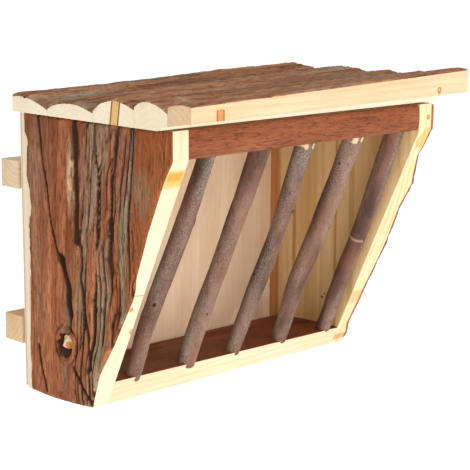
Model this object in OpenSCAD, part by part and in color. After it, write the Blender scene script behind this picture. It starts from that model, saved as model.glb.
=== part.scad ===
// Hay rack of split bark-covered wood, clamped to the wire of a cage.
// +Z is up, -Y is the front with the bars, +X is to the right.
// The origin is on the rear face of the back panel, midway between the two clamp battens.

/* [Body] */
// Width over the bark at the two front corners
body_w = 194; // [165:1:235]
// Height of the sides
body_h = 146.4; // [128:1:176]
// Depth of the sides at the top, from the back panel to the front of the rail
top_depth = 112.7; // [95:1:136]
// Depth of the sides at the bottom
bottom_depth = 51; // [42:1:62]
// Height of the straight front above the slanted part, and of the rail
rail_h = 14.2; // [12:0.1:18]
// Thickness of the left side at its front edge
left_edge_t = 11.3; // [8:0.1:16]
// Thickness of the right side at its front edge
right_edge_t = 13.4; // [8:0.1:16]
// How much thicker each side is at its back edge
back_edge_extra = 2.3; // [0:0.1:4]
// How far the bark bulges in the middle of a side
bark_bulge = 3.2; // [0:0.1:5]
// Thickness of the plywood back panel
panel_t = 5; // [3:0.1:8]
// How far the panel stays inside the bark at its two ends
panel_inset = 1; // [0:0.5:4]

/* [Rail and bottom plank] */
// Thickness of the front rail
rail_t = 15; // [13:0.5:19]
// How far the rail's bark face is rounded
rail_crown = 1.2; // [0:0.1:3]
// Height of the bottom plank at its left end
plank_h = 13.4; // [12:0.1:18]
// How much lower the bottom plank is at its right end
plank_fall = 2.4; // [0:0.1:4]
// How far the bark on the bottom plank is rounded
plank_crown = 2.5; // [0:0.1:4]
// Gap between the bottom plank and the back panel
plank_back_gap = 3; // [0.5:0.5:8]

/* [Bars] */
// Thickness of a bar
rod_d = 9; // [7:0.1:10]
// How much each bar is thicker or thinner than that
rod_extra_d = [0.1, 1, 0.2, 1.2, 0.7]; // by hand
// How far each bar stands to the right of its even place
rod_shift = [-0.2, 2.9, 4, 4.7, 7.8]; // by hand
// Distance of a bar's middle behind the front of the rail
rod_in_rail = 8; // [6:0.5:10]
// Distance of a bar's middle behind the front face of the bottom plank
rod_in_plank = 3.8; // [2:0.1:6]
// Depth of the hole for a bar in the rail
rod_top_depth = 8; // [5:0.5:10]
// Depth of the hole for a bar in the bottom plank
rod_foot_depth = 3; // [2:0.5:6]

/* [Lid] */
// How far the lid stands out past the left side's front edge
lid_left_overhang = 7; // [0:0.5:12]
// How far the lid stays short of the right side's front edge
lid_right_short = 0.5; // [-6:0.5:8]
// How far the lid stands out past the rail
lid_front_overhang = 21.9; // [12:0.5:30]
// Gap between the sides and the lid, for the hinge leaves
lid_gap = 0.9; // [0.8:0.1:2]
// Width of the squared front plank
front_plank_w = 15.9; // [12:0.1:22]
// How the split logs share the rest of the lid's depth, from the back to the front
slat_share = [29.3, 35.8, 30.4, 23.1]; // by hand
// Height of each split log's bark edge above the lid's underside, back and front
slat_back_h = [7.3, 2.4, 6.2, 9.6]; // by hand
slat_front_h = [2.4, 4.6, 8.2, 8.4]; // by hand
// Height of each split log's crown over the line between its edges
slat_crown = [3.6, 4.6, 3.4, 3.2]; // by hand
// How much higher each split log is at its right end
slat_rise = [6.5, 7, 4.6, 4]; // by hand
// Height of the squared front plank at its left end
front_plank_h = 8.2; // [6:0.1:14]
// How far the bark on the front plank is rounded
front_plank_crown = 1.2; // [0:0.1:3]
// How far the front plank's underside is above the lid's underside
front_plank_lift = 2.6; // [0:0.1:5]
// How much higher the front plank's top is at its right end
front_plank_rise = 6; // [0:0.1:7]
// How much higher the front plank's underside is at its right end
front_plank_base_rise = 1.6; // [0:0.1:3]
// How far the front plank's underside climbs to the front
front_plank_tilt = 2.4; // [0:0.1:4]
// Gap between the boards of the lid
board_gap = 0.15; // [0.1:0.05:0.5]
// Width of a cleat under the lid
cleat_w = 10; // [6:0.5:14]
// Height of a cleat under the lid
cleat_h = 8; // [5:0.5:10]
// Distance of a cleat's ends from the rail and from the back panel
cleat_end_gap = 3; // [2:0.5:8]
// Space between a cleat and the side beside it
cleat_side_gap = 6; // [2:0.5:12]

/* [Hinges] */
// Distance of a hinge's middle from the end of the back panel
hinge_from_end = 41; // [30:1:60]
// Width of a hinge
hinge_w = 20; // [16:1:28]
// Thickness of a hinge leaf
leaf_t = 0.8; // [0.5:0.1:1.2]
// Length of a hinge leaf, measured from the pin
leaf_l = 17; // [14:0.5:20]
// Outer radius of the hinge knuckle
knuckle_r = 1.8; // [1.5:0.1:2.5]
// Gap between two knuckles
knuckle_gap = 0.3; // [0.3:0.1:0.8]
// Radius of the hinge pin
hinge_pin_r = 0.9; // [0.6:0.1:1.2]

/* [Clamp] */
// Distance between the two battens, middle to middle
batten_pitch = 83; // [65:1:100]
// Height of a batten
batten_h = 14.5; // [12:0.5:20]
// Depth of a batten
batten_t = 15; // [10:0.5:20]
// Gap between the back panel and a batten when the wing nuts are tight
wire_gap = 1.1; // [0.5:0.1:3]
// Height of the clamp's middle above the underside of the body
clamp_h = 71.5; // [60:0.5:80]
// Distance between the two bolts of a batten
bolt_pitch = 142; // [110:1:160]
// Radius of a bolt
bolt_r = 2.5; // [2:0.1:3]
// Radius of the lead-in at a bolt's free end
bolt_end_r = 2.3; // [1.8:0.1:2.8]
// Length of the lead-in at a bolt's free end
bolt_end_l = 6; // [3:0.5:10]
// Length of a bolt's thread past the wing nut, lead-in and all
bolt_spare = 9.5; // [8:0.5:20]
// Radius of a bolt's round head
bolt_head_r = 5; // [4:0.1:7]
// Height of a bolt's round head
bolt_head_h = 2.5; // [2:0.1:4]
// Thickness of a washer
washer_t = 1; // [0.8:0.1:2]
// Outer radius of a washer
washer_r = 6.5; // [5.5:0.1:7.2]
// Radius of a wing nut's hub
nut_hub_r = 4.6; // [4:0.1:6]
// Height of a wing nut's hub
nut_hub_h = 5.5; // [4:0.1:8]
// Reach of a wing nut's wing from its middle
nut_reach = 13; // [10:0.5:16]
// Thickness of a wing
wing_t = 1.8; // [1.2:0.1:3]
// How each wing nut happens to stand
nut_turn = [20, -35, 70, 5]; // by hand

/* [Nails and screws] */
// Radius of a nail
nail_r = 0.7; // [0.5:0.1:1]
// Radius of a nail's head
nail_head_r = 1.5; // [1.2:0.1:2]
// Height of a nail's head
nail_head_h = 0.5; // [0.4:0.1:0.8]
// Distance of the first and last panel nail from the panel's ends
nail_from_edge = 13; // [8:1:20]
// Depth that a cleat's nail goes into a split log
cleat_nail_bite = 3.5; // [2:0.1:4]
// Length of a nail through the back panel
panel_nail_l = 18; // [14:1:25]
// Length of a headless pin through a side
side_pin_l = 26; // [20:1:35]
// Radius of a hinge screw
screw_r = 1.2; // [1:0.1:1.5]
// Radius of a hinge screw's head
screw_head_r = 2.2; // [1.8:0.1:2.6]
// Height of a hinge screw's head
screw_head_h = 1; // [0.8:0.1:1.4]
// Depth that a hinge screw goes into the wood
screw_l = 3.4; // [2.5:0.1:4]

/* [Fits] */
// Gap all round a piece that is fixed in its hole
fit_gap = 0.05; // [0.02:0.01:0.1]
// Gap all round a hinge pin and in a wing nut's bore
running_gap = 0.06; // [0.03:0.01:0.09]
// Gap all round a bolt in a batten or a washer
loose_gap = 0.4; // [0.3:0.1:0.8]
// Gap between pieces that move past each other
free_gap = 0.4; // [0.3:0.1:0.8]
// Gap between a washer and its wing nut
nut_gap = 0.3; // [0.3:0.05:0.6]

/* [Hidden] */
$fn = 48;

bark = "saddlebrown";
cut_wood = "wheat";
plywood = "burlywood";
twig = "rosybrown";
steel = "silver";

rod_count = 5;        // number of bars, one node each
over = 1;             // how far a cutting shape runs past what it cuts
curve_steps = 10;     // straight lines in a bark curve
pin_sink = 1.5;       // how deep a side's pins start under the bark
pin_proud = 0.6;      // how far a hinge pin stands out of its knuckles
tall = 60;            // taller than any board of the lid
pin_at = [0.35, 0.7]; // where a side's pins stand, as shares of the rail's or the plank's depth
pin_up = 0.3;         // how high the plank's pins and nails stand in it, as a share
plank_back = 0.7;     // height of the plank's back edge, as a share
nail_at = [0.3, 0.7]; // where a cleat's nails stand, as shares of a board's depth
screw_aside = 0.28;   // how far a hinge's screws stand from its middle, as a share of its width
screw_down = 0.62;    // where the screws stand in the leaf on the panel, as a share of its length
screw_along = 0.75;   // where the screws stand in the leaf under the lid, as a share of its length

body_l = -body_w / 2;
body_r = body_w / 2;
inner_l = body_l + left_edge_t;
inner_r = body_r - right_edge_t;
inner_w = inner_r - inner_l;
panel_front = -panel_t;
front_y = panel_front - top_depth;
foot_y = panel_front - bottom_depth;
rail_z = body_h - rail_h;
slant = atan((foot_y - front_y) / rail_z);
panel_w = body_w - 2 * panel_inset;
panel_h = body_h + lid_gap - leaf_t - free_gap;

// The bars run from a point in the rail's underside to a point in the bottom plank's top.
rod_pitch = inner_w / rod_count;
rod_top = [front_y + rod_in_rail, rail_z];
plank_top_z = plank_h - plank_fall / 2;
rod_foot = [slant_y(plank_top_z) + rod_in_plank / cos(slant), plank_top_z];
rod_lean = atan((rod_foot[0] - rod_top[0]) / (rod_top[1] - rod_foot[1]));
rod_span = (rod_top[1] - rod_foot[1]) / cos(rod_lean);

lid_z = body_h + lid_gap;
lid_l_x = body_l - lid_left_overhang;
lid_l = body_r - lid_right_short - lid_l_x;
lid_front_y = front_y - lid_front_overhang;
// The boards' back edges, one after the other from the back; the last one is the front plank's.
slats_depth = panel_front - lid_front_y - front_plank_w;
share_sum = slat_share[0] + slat_share[1] + slat_share[2] + slat_share[3];
function slat_w(i) = slats_depth * slat_share[i] / share_sum;
function slat_back(i) = i == 0 ? panel_front : slat_back(i - 1) - slat_w(i - 1);
knuckle_l = hinge_w / 3;
hinge_y = knuckle_r;
hinge_z = lid_z - knuckle_r;
hinge_x = [-panel_w / 2 + hinge_from_end, panel_w / 2 - hinge_from_end];
cleat_front = front_y + rail_t + cleat_end_gap;
cleat_back = panel_front - cleat_end_gap;
cleat_x = [inner_l + cleat_side_gap, inner_r - cleat_side_gap - cleat_w];

batten_y = wire_gap;
batten_back = batten_y + batten_t;
washer_y = batten_back;
nut_y = washer_y + washer_t + nut_gap;
bolt_tip = nut_y + nut_hub_h + bolt_spare;
bolt_x = [-bolt_pitch / 2, bolt_pitch / 2];
batten_z = [batten_pitch / 2, -batten_pitch / 2];

// Y of the slanted front plane at a height above the underside
function slant_y(z) = foot_y - z * tan(slant);
function rod_x(i) = inner_l + (i + 0.5) * rod_pitch + rod_shift[i];
function rod_r(i) = (rod_d + rod_extra_d[i]) / 2;
// A rounded line over a board: from height a to height b with a crown between them
function crowned(a, b, crown, s) = a + (b - a) * s + crown * pow(sin(180 * s), 0.8);

// A hole's copy of a head stays this far off the face that the head sits on.
function head_clear(grow) = grow / 5;

// Stands the body on its own underside, so that z = 0 is the bottom of the sides.
module on_bottom() {
    translate([0, 0, -clamp_h]) children();
}

// Turns an outline drawn in Y and Z into a solid that runs along X.
module along_x(x0, x1) {
    translate([x0, 0, 0]) rotate([90, 0, 90]) linear_extrude(x1 - x0) children();
}

// ---- Sides ----

// Outline of a side, seen from the left or the right
module side_outline() {
    polygon([
        [panel_front, 0], [foot_y, 0], [front_y, rail_z], [front_y, body_h], [panel_front, body_h]
    ]);
}

// Plan of a side: flat inside at x = 0, bark bulging to +X
module side_plan(edge_t) {
    points = [for (i = [0:curve_steps])
        let (s = i / curve_steps)
        [crowned(edge_t, edge_t + back_edge_extra, bark_bulge, s),
            front_y + s * (panel_front - front_y)]
    ];
    polygon(concat([[0, panel_front], [0, front_y]], points));
}

module side(edge_t) {
    intersection() {
        linear_extrude(body_h) side_plan(edge_t);
        along_x(-over, edge_t + back_edge_extra + bark_bulge + over) side_outline();
    }
}

// Pins through a side into the ends of the rail, above the bars, and of the bottom plank, below them
module pins_in_side(side_sign, grow) {
    outer = side_sign * (body_w / 2 - pin_sink);
    above_bars = body_h - (rail_h - rod_top_depth) / 2;
    for (share = pin_at, p = [[front_y + rail_t * share, above_bars],
                              [foot_y + bottom_depth * share, plank_h * pin_up]]) {
        translate([outer, p[0], p[1]])
            rotate([0, -side_sign * 90, 0])
                cylinder(r = nail_r + grow, h = side_pin_l + grow);
    }
}

// Four nails into the back edge of each side, and two into the bottom plank
module panel_nails_at(grow) {
    z_step = (panel_h - 2 * nail_from_edge) / 3;
    for (x = [inner_l - left_edge_t / 2, inner_r + right_edge_t / 2], i = [0:3]) {
        nail_from_back(x, nail_from_edge + i * z_step, grow);
    }
    for (x = [-inner_w / 4, inner_w / 4]) {
        nail_from_back(x, plank_h * pin_up, grow);
    }
}

// One nail driven forward from the panel's rear face
module nail_from_back(x, z, grow) {
    translate([x, 0, z]) rotate([90, 0, 0]) {
        cylinder(r = nail_r + grow, h = panel_nail_l + grow);
        translate([0, 0, -nail_head_h]) cylinder(r = nail_head_r, h = nail_head_h - head_clear(grow));
    }
}

module left_side() {
    color(bark) on_bottom() difference() {
        translate([inner_l, 0, 0]) mirror([1, 0, 0]) side(left_edge_t);
        pins_in_side(-1, fit_gap);
        panel_nails_at(fit_gap);
    }
}

module right_side() {
    color(bark) on_bottom() difference() {
        translate([inner_r, 0, 0]) side(right_edge_t);
        pins_in_side(1, fit_gap);
        panel_nails_at(fit_gap);
    }
}

// ---- Back panel ----

module back_panel() {
    color(plywood) difference() {
        on_bottom() difference() {
            translate([-panel_w / 2, panel_front, 0]) cube([panel_w, panel_t, panel_h]);
            panel_nails_at(fit_gap);
            for (x = hinge_x) fixed_screws(x, fit_gap);
        }
        for (x = bolt_x, z = batten_z) bolt(x, z, fit_gap);
    }
}

// ---- Bottom plank and front rail ----

// Outline of the bottom plank in Y and Z, bark on its top
module plank_outline(h) {
    back = panel_front - plank_back_gap;
    front = slant_y(h);
    top = [for (i = [0:curve_steps])
        let (s = i / curve_steps)
        [front + s * (back - front), crowned(h, h * plank_back, plank_crown, s)]
    ];
    polygon(concat([[back, 0], [foot_y, 0]], top));
}

module bottom_plank() {
    fall = atan(plank_fall / inner_w);
    color(bark) on_bottom() difference() {
        along_x(inner_l + fit_gap, inner_r - fit_gap) plank_outline(plank_h);
        // The top is cut lower towards the right end.
        translate([inner_l, -top_depth, plank_h + plank_crown / 2]) rotate([0, fall, 0])
            translate([-over, 0, 0]) cube([inner_w + tall, top_depth, plank_h]);
        rods_in_place(fit_gap);
        pins_in_side(-1, fit_gap);
        pins_in_side(1, fit_gap);
        panel_nails_at(fit_gap);
    }
}

// Outline of the rail in Y and Z, bark on its front
module rail_outline() {
    face = [for (i = [0:curve_steps])
        let (s = i / curve_steps)
        [front_y + rail_crown - crowned(0, 0, rail_crown, s), rail_z + s * rail_h]
    ];
    polygon(concat([[front_y + rail_t, body_h], [front_y + rail_t, rail_z]], face));
}

module front_rail() {
    color(bark) on_bottom() difference() {
        along_x(inner_l + fit_gap, inner_r - fit_gap) rail_outline();
        rods_in_place(fit_gap);
        pins_in_side(-1, fit_gap);
        pins_in_side(1, fit_gap);
    }
}

// ---- Bars ----

// One bar: it stands on its foot in the bottom plank and leans forward to the rail.
module rod(i, grow) {
    translate([rod_x(i), rod_foot[0], rod_foot[1]])
        rotate([rod_lean, 0, 0])
            translate([0, 0, -rod_foot_depth - grow])
                cylinder(r = rod_r(i) + grow, h = rod_span + rod_foot_depth + rod_top_depth + 2 * grow);
}

module rods_in_place(grow) {
    for (i = [0:rod_count - 1]) rod(i, grow);
}

module rod_node(i) {
    if (i < rod_count) color(twig) on_bottom() rod(i, 0);
}

// ---- Lid ----

// One board of the lid: flat below, bark on top, climbing by rise to its right end
module lid_board(back, front, back_h, front_h, crown, rise, lift = 0, tilt = 0, base_rise = 0) {
    climb = atan(rise / lid_l);
    top = [for (i = [0:curve_steps])
        let (s = i / curve_steps)
        [front + s * (back - front), lid_z + crowned(front_h, back_h, crown, s)]
    ];
    intersection() {
        translate([lid_l_x, 0, 0]) rotate([0, -climb, 0])
            along_x(-over - tall, lid_l + tall)
                polygon(concat([[back, lid_z - tall], [front, lid_z - tall]], top));
        translate([lid_l_x, 0, 0]) rotate([0, -atan(base_rise / lid_l), 0])
            along_x(0, lid_l)
                polygon([
                    [back, lid_z + lift], [front, lid_z + lift + tilt],
                    [front, lid_z + tall], [back, lid_z + tall]
                ]);
    }
}

module lid_slat(i) {
    color(bark) on_bottom() difference() {
        lid_board(slat_back(i) - (i == 0 ? 0 : board_gap), slat_back(i + 1),
            slat_back_h[i], slat_front_h[i], slat_crown[i], slat_rise[i]);
        cleat_nails_at(fit_gap);
        for (x = hinge_x) lid_screws(x, fit_gap);
    }
}

module lid_front_plank() {
    back_h = front_plank_lift + front_plank_h + front_plank_crown;
    front_h = front_plank_lift + front_plank_tilt + front_plank_h;
    color(cut_wood) on_bottom()
        lid_board(slat_back(4) - board_gap, lid_front_y, back_h, front_h, front_plank_crown,
            front_plank_rise, front_plank_lift, front_plank_tilt, front_plank_base_rise);
}

// Where the cleats' nails stand: two in each board that lies on the cleats
function nail_rows() = [for (i = [0:3], s = nail_at)
    let (y = slat_back(i) - slat_w(i) * s)
    if (y < cleat_back - nail_head_r && y > cleat_front + nail_head_r) y];

module cleat_nails_at(grow) {
    for (x = cleat_x, y = nail_rows()) {
        translate([x + cleat_w / 2, y, lid_z - cleat_h]) {
            cylinder(r = nail_r + grow, h = cleat_h + cleat_nail_bite + grow);
            translate([0, 0, -nail_head_h])
                cylinder(r = nail_head_r, h = nail_head_h - head_clear(grow));
        }
    }
}

module lid_cleat(x) {
    color(cut_wood) on_bottom() difference() {
        translate([x, cleat_front, lid_z - cleat_h])
            cube([cleat_w, cleat_back - cleat_front, cleat_h]);
        cleat_nails_at(fit_gap);
    }
}

module cleat_nails() {
    color(steel) on_bottom() cleat_nails_at(0);
}

// ---- Hinges ----

// The barrel has three knuckles: the outer two are on the fixed leaf, the middle one on the lid's.
module knuckle(x, from, to) {
    translate([x + from, hinge_y, hinge_z]) rotate([0, 90, 0]) cylinder(r = knuckle_r, h = to - from);
}

module pin_bore(x) {
    translate([x - hinge_w, hinge_y, hinge_z]) rotate([0, 90, 0])
        cylinder(r = hinge_pin_r + running_gap, h = 2 * hinge_w);
}

module fixed_leaf(x) {
    color(steel) on_bottom() difference() {
        union() {
            translate([x - hinge_w / 2, 0, hinge_z - leaf_l])
                cube([hinge_w, leaf_t, leaf_l]);
            knuckle(x, -hinge_w / 2, -knuckle_l / 2 - knuckle_gap / 2);
            knuckle(x, knuckle_l / 2 + knuckle_gap / 2, hinge_w / 2);
        }
        translate([x - knuckle_l / 2 - knuckle_gap / 2, -over, hinge_z - knuckle_r - free_gap])
            cube([knuckle_l + knuckle_gap, 2 * knuckle_r + over, knuckle_r * 2 + free_gap + over]);
        pin_bore(x);
        fixed_screws(x, fit_gap);
    }
}

module lid_leaf(x) {
    color(steel) on_bottom() difference() {
        union() {
            translate([x - hinge_w / 2, hinge_y - leaf_l, lid_z - leaf_t])
                cube([hinge_w, leaf_l, leaf_t]);
            knuckle(x, -knuckle_l / 2 + knuckle_gap / 2, knuckle_l / 2 - knuckle_gap / 2);
        }
        for (side_x = [x - hinge_w / 2 - over, x + knuckle_l / 2 - knuckle_gap / 2]) {
            translate([side_x, hinge_y - knuckle_r - free_gap, hinge_z - knuckle_r])
                cube([knuckle_l + knuckle_gap / 2 + over, 3 * knuckle_r, 3 * knuckle_r]);
        }
        pin_bore(x);
        lid_screws(x, fit_gap);
    }
}

module hinge_pin(x) {
    color(steel) on_bottom() translate([x - hinge_w / 2 - pin_proud, hinge_y, hinge_z])
        rotate([0, 90, 0]) cylinder(r = hinge_pin_r, h = hinge_w + 2 * pin_proud);
}

// Two screws through the fixed leaf into the back panel
module fixed_screws(x, grow) {
    for (dx = [-hinge_w * screw_aside, hinge_w * screw_aside]) {
        translate([x + dx, leaf_t, hinge_z - leaf_l * screw_down]) rotate([90, 0, 0]) wood_screw(grow);
    }
}

// Two screws through the lid's leaf up into the rear split log
module lid_screws(x, grow) {
    for (dx = [-hinge_w * screw_aside, hinge_w * screw_aside]) {
        translate([x + dx, hinge_y - leaf_l * screw_along, lid_z - leaf_t]) wood_screw(grow);
    }
}

// A screw with its head's seat at z = 0 and its point up
module wood_screw(grow) {
    cylinder(r = screw_r + grow, h = leaf_t + screw_l + grow);
    translate([0, 0, -screw_head_h])
        cylinder(r = screw_head_r, h = screw_head_h - head_clear(grow));
}

module fixed_leaf_screws() {
    color(steel) on_bottom() for (x = hinge_x) fixed_screws(x, 0);
}

module lid_leaf_screws() {
    color(steel) on_bottom() for (x = hinge_x) lid_screws(x, 0);
}

// ---- Nails in the body ----

module panel_nails() {
    color(steel) on_bottom() panel_nails_at(0);
}

module side_pins() {
    color(steel) on_bottom() {
        pins_in_side(-1, 0);
        pins_in_side(1, 0);
    }
}

// ---- Clamp ----

// A bolt with its round head inside the rack; grow makes the hole for it in the back panel.
module bolt(x, z, grow) {
    translate([x, panel_front, z]) rotate([-90, 0, 0]) {
        translate([0, 0, -bolt_head_h]) cylinder(r = bolt_head_r, h = bolt_head_h - head_clear(grow));
        translate([0, 0, -grow])
            cylinder(r = bolt_r + grow, h = bolt_tip - bolt_end_l - panel_front + grow);
        cylinder(r = bolt_end_r, h = bolt_tip - panel_front);
    }
}

module clamp_bolts() {
    color(steel) for (x = bolt_x, z = batten_z) bolt(x, z, 0);
}

module batten(z) {
    color(cut_wood) difference() {
        translate([body_l, batten_y, z - batten_h / 2]) cube([body_w, batten_t, batten_h]);
        for (x = bolt_x) translate([x, batten_y - over, z]) rotate([-90, 0, 0])
            cylinder(r = bolt_r + loose_gap, h = batten_t + 2 * over);
    }
}

module washers(z) {
    color(steel) for (x = bolt_x) translate([x, washer_y, z]) rotate([-90, 0, 0]) difference() {
        cylinder(r = washer_r, h = washer_t);
        translate([0, 0, -over]) cylinder(r = bolt_r + loose_gap, h = washer_t + 2 * over);
    }
}

// One wing in X and Y, with its root in the hub and a round tip
module wing_outline() {
    tip_r = nut_reach * 0.32;
    tip = [nut_reach - tip_r, nut_hub_h + 1.5];
    translate(tip) circle(r = tip_r);
    polygon([
        [nut_hub_r * 0.75, 0.8], [nut_hub_r * 0.75, nut_hub_h],
        [tip[0] - tip_r * 0.6, tip[1] + tip_r * 0.8], [tip[0] + tip_r * 0.75, tip[1] - tip_r * 0.66]
    ]);
}

module wing_nut(x, z, turn) {
    color(steel) translate([x, nut_y, z]) rotate([-90, turn, 0]) difference() {
        union() {
            cylinder(r = nut_hub_r, h = nut_hub_h);
            for (m = [0, 1]) mirror([m, 0, 0])
                translate([0, wing_t / 2, 0]) rotate([90, 0, 0]) linear_extrude(wing_t) wing_outline();
        }
        translate([0, 0, -over])
            cylinder(r = bolt_r + running_gap, h = nut_hub_h + nut_reach + over);
    }
}

left_side();
right_side();
back_panel();
bottom_plank();
front_rail();
rod_node(0);  // rod_1
rod_node(1);  // rod_2
rod_node(2);  // rod_3
rod_node(3);  // rod_4
rod_node(4);  // rod_5
lid_slat(0);  // lid_slat_1
lid_slat(1);  // lid_slat_2
lid_slat(2);  // lid_slat_3
lid_slat(3);  // lid_slat_4
lid_front_plank();
lid_cleat(cleat_x[0]);  // lid_cleat_left
lid_cleat(cleat_x[1]);  // lid_cleat_right
cleat_nails();
fixed_leaf(hinge_x[0]);  // hinge_left_fixed_leaf
lid_leaf(hinge_x[0]);  // hinge_left_lid_leaf
hinge_pin(hinge_x[0]);  // hinge_left_pin
fixed_leaf(hinge_x[1]);  // hinge_right_fixed_leaf
lid_leaf(hinge_x[1]);  // hinge_right_lid_leaf
hinge_pin(hinge_x[1]);  // hinge_right_pin
fixed_leaf_screws();
lid_leaf_screws();
panel_nails();
side_pins();
clamp_bolts();
batten(batten_z[0]);  // upper_batten
batten(batten_z[1]);  // lower_batten
washers(batten_z[0]);  // upper_washers
washers(batten_z[1]);  // lower_washers
wing_nut(bolt_x[0], batten_z[0], nut_turn[0]);  // wing_nut_1
wing_nut(bolt_x[1], batten_z[0], nut_turn[1]);  // wing_nut_2
wing_nut(bolt_x[0], batten_z[1], nut_turn[2]);  // wing_nut_3
wing_nut(bolt_x[1], batten_z[1], nut_turn[3]);  // wing_nut_4
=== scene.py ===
import math

import bmesh
import bpy
import numpy as np
from mathutils import Matrix, Vector


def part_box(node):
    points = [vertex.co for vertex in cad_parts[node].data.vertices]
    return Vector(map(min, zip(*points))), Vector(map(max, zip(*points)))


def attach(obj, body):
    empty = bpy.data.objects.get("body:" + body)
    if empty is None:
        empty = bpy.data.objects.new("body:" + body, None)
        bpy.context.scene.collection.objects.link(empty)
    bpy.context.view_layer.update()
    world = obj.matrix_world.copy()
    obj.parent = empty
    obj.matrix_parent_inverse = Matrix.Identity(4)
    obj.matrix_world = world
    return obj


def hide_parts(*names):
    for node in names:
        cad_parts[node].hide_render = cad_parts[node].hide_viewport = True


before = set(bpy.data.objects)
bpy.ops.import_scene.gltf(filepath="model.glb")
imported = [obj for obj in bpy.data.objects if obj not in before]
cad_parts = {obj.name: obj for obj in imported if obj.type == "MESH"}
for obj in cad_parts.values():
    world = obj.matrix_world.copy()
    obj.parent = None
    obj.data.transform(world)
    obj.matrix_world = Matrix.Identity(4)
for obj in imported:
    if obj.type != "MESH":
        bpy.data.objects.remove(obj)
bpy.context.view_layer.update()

scene = bpy.context.scene

# Shapes below are worked out in millimetres, in the frame's own axes, and made metres at the very end.
MM = 0.001


def reach(node):
    """Lowest and highest corner of a CAD node, in mm."""
    low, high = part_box(node)
    return np.array(low) / MM, np.array(high) / MM


UNDERSIDE = reach("left_side")[0][2]
BODY_TOP = reach("left_side")[1][2]
RAIL_LOW = reach("front_rail")[0][2]
FRONT_Y = reach("left_side")[0][1]
BACK_Y = reach("left_side")[1][1]
INNER_L = reach("left_side")[1][0]
INNER_R = reach("right_side")[0][0]
LID_Z = reach("lid_slat_1")[0][2]
LID_L = reach("lid_slat_1")[0][0]
LID_LENGTH = 200.5
LID_R = LID_L + LID_LENGTH
BODY_HALF = 97.0
FOOT_Y = -56.0
SLANT = (FOOT_Y - FRONT_Y) / (RAIL_LOW - UNDERSIDE)


def above(z):
    """The frame's own height of a point that is z mm above the underside."""
    return z + UNDERSIDE


# ---- Random fields ----

LATTICE = np.random.default_rng(41).random((32, 32, 32))


def smooth(x, low, high):
    """0 below low, 1 above high, and a soft step between them."""
    t = np.clip((x - low) / (high - low), 0, 1)
    return t * t * (3 - 2 * t)


def noise(u, v, size_u, size_v, seed):
    """Soft random field from -1 to 1 over u and v in mm, with humps of about the given sizes."""
    p = [u / size_u + 11.3 * seed, v / size_v + 5.7 * seed]
    cell = [np.floor(q).astype(int) for q in p]
    step = [(q - c) for q, c in zip(p, cell)]
    step = [s * s * (3 - 2 * s) for s in step]
    total = 0
    for du in (0, 1):
        for dv in (0, 1):
            weight = (step[0] if du else 1 - step[0]) * (step[1] if dv else 1 - step[1])
            total = total + weight * LATTICE[(cell[0] + du) % 32, (cell[1] + dv) % 32, seed % 32]
    return total * 2 - 1


def layers(u, v, size_u, size_v, seed, count=3):
    """Several noises on top of each other, each half as large as the one before."""
    total, weight = 0, 0
    for k in range(count):
        total = total + noise(u, v, size_u / 2 ** k, size_v / 2 ** k, seed + 3 * k) / 2 ** k
        weight += 1 / 2 ** k
    return total / weight


def strands(u, v, width, length, seed):
    """Long strands of bark, side by side. For each point: how far it is from its strand's side in mm, how
    wide the gap there stands open (-1 to 1), the strand's own shade (0 to 1), and how far across the
    strand it is (0 to 1)."""
    q = v / width
    k = np.floor(q)

    def side(number):
        return number + 0.42 * noise(u, number * 17.3, length, 1.0, seed)
    k = np.where(q < side(k), k - 1, np.where(q > side(k + 1), k + 1, k))
    low, high = side(k), side(k + 1)
    share = np.clip((q - low) / np.maximum(high - low, 0.05), 0, 1)
    near = np.minimum(share, 1 - share) * (high - low) * width
    gap_number = np.where(share < 0.5, k, k + 1)
    open_gap = noise(u, gap_number * 29.1, length * 0.45, 1.0, seed + 3)
    shade = 0.5 + 0.5 * noise(u, k * 7.9, length * 1.3, 1.0, seed + 5)
    return near, open_gap, shade, share


def line_distance(y, z, points):
    """Distance in mm from a bent line through the given points."""
    best = np.full(np.shape(y), 1e9)
    for (y0, z0), (y1, z1) in zip(points, points[1:]):
        dy, dz = y1 - y0, z1 - z0
        t = np.clip(((y - y0) * dy + (z - z0) * dz) / (dy * dy + dz * dz), 0, 1)
        best = np.minimum(best, np.hypot(y - y0 - t * dy, z - z0 - t * dz))
    return best


def spot(y, z, at, size_y, size_z):
    """1 in the middle of an oval spot, falling to 0 at its rim."""
    return np.clip(1 - ((y - at[0]) / size_y) ** 2 - ((z - at[1]) / size_z) ** 2, 0, 1)


def samples(length, step, dense=0.45):
    """Shares from 0 to 1 along a length in mm, closer together towards both ends."""
    n = max(int(round(length / step)), 4)
    s = np.linspace(0, 1, n + 1)
    return s - dense * np.sin(2 * np.pi * s) / (2 * np.pi)


# ---- Meshes ----

MAPS = ("relief", "tone", "grey", "smooth", "pale")


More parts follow.
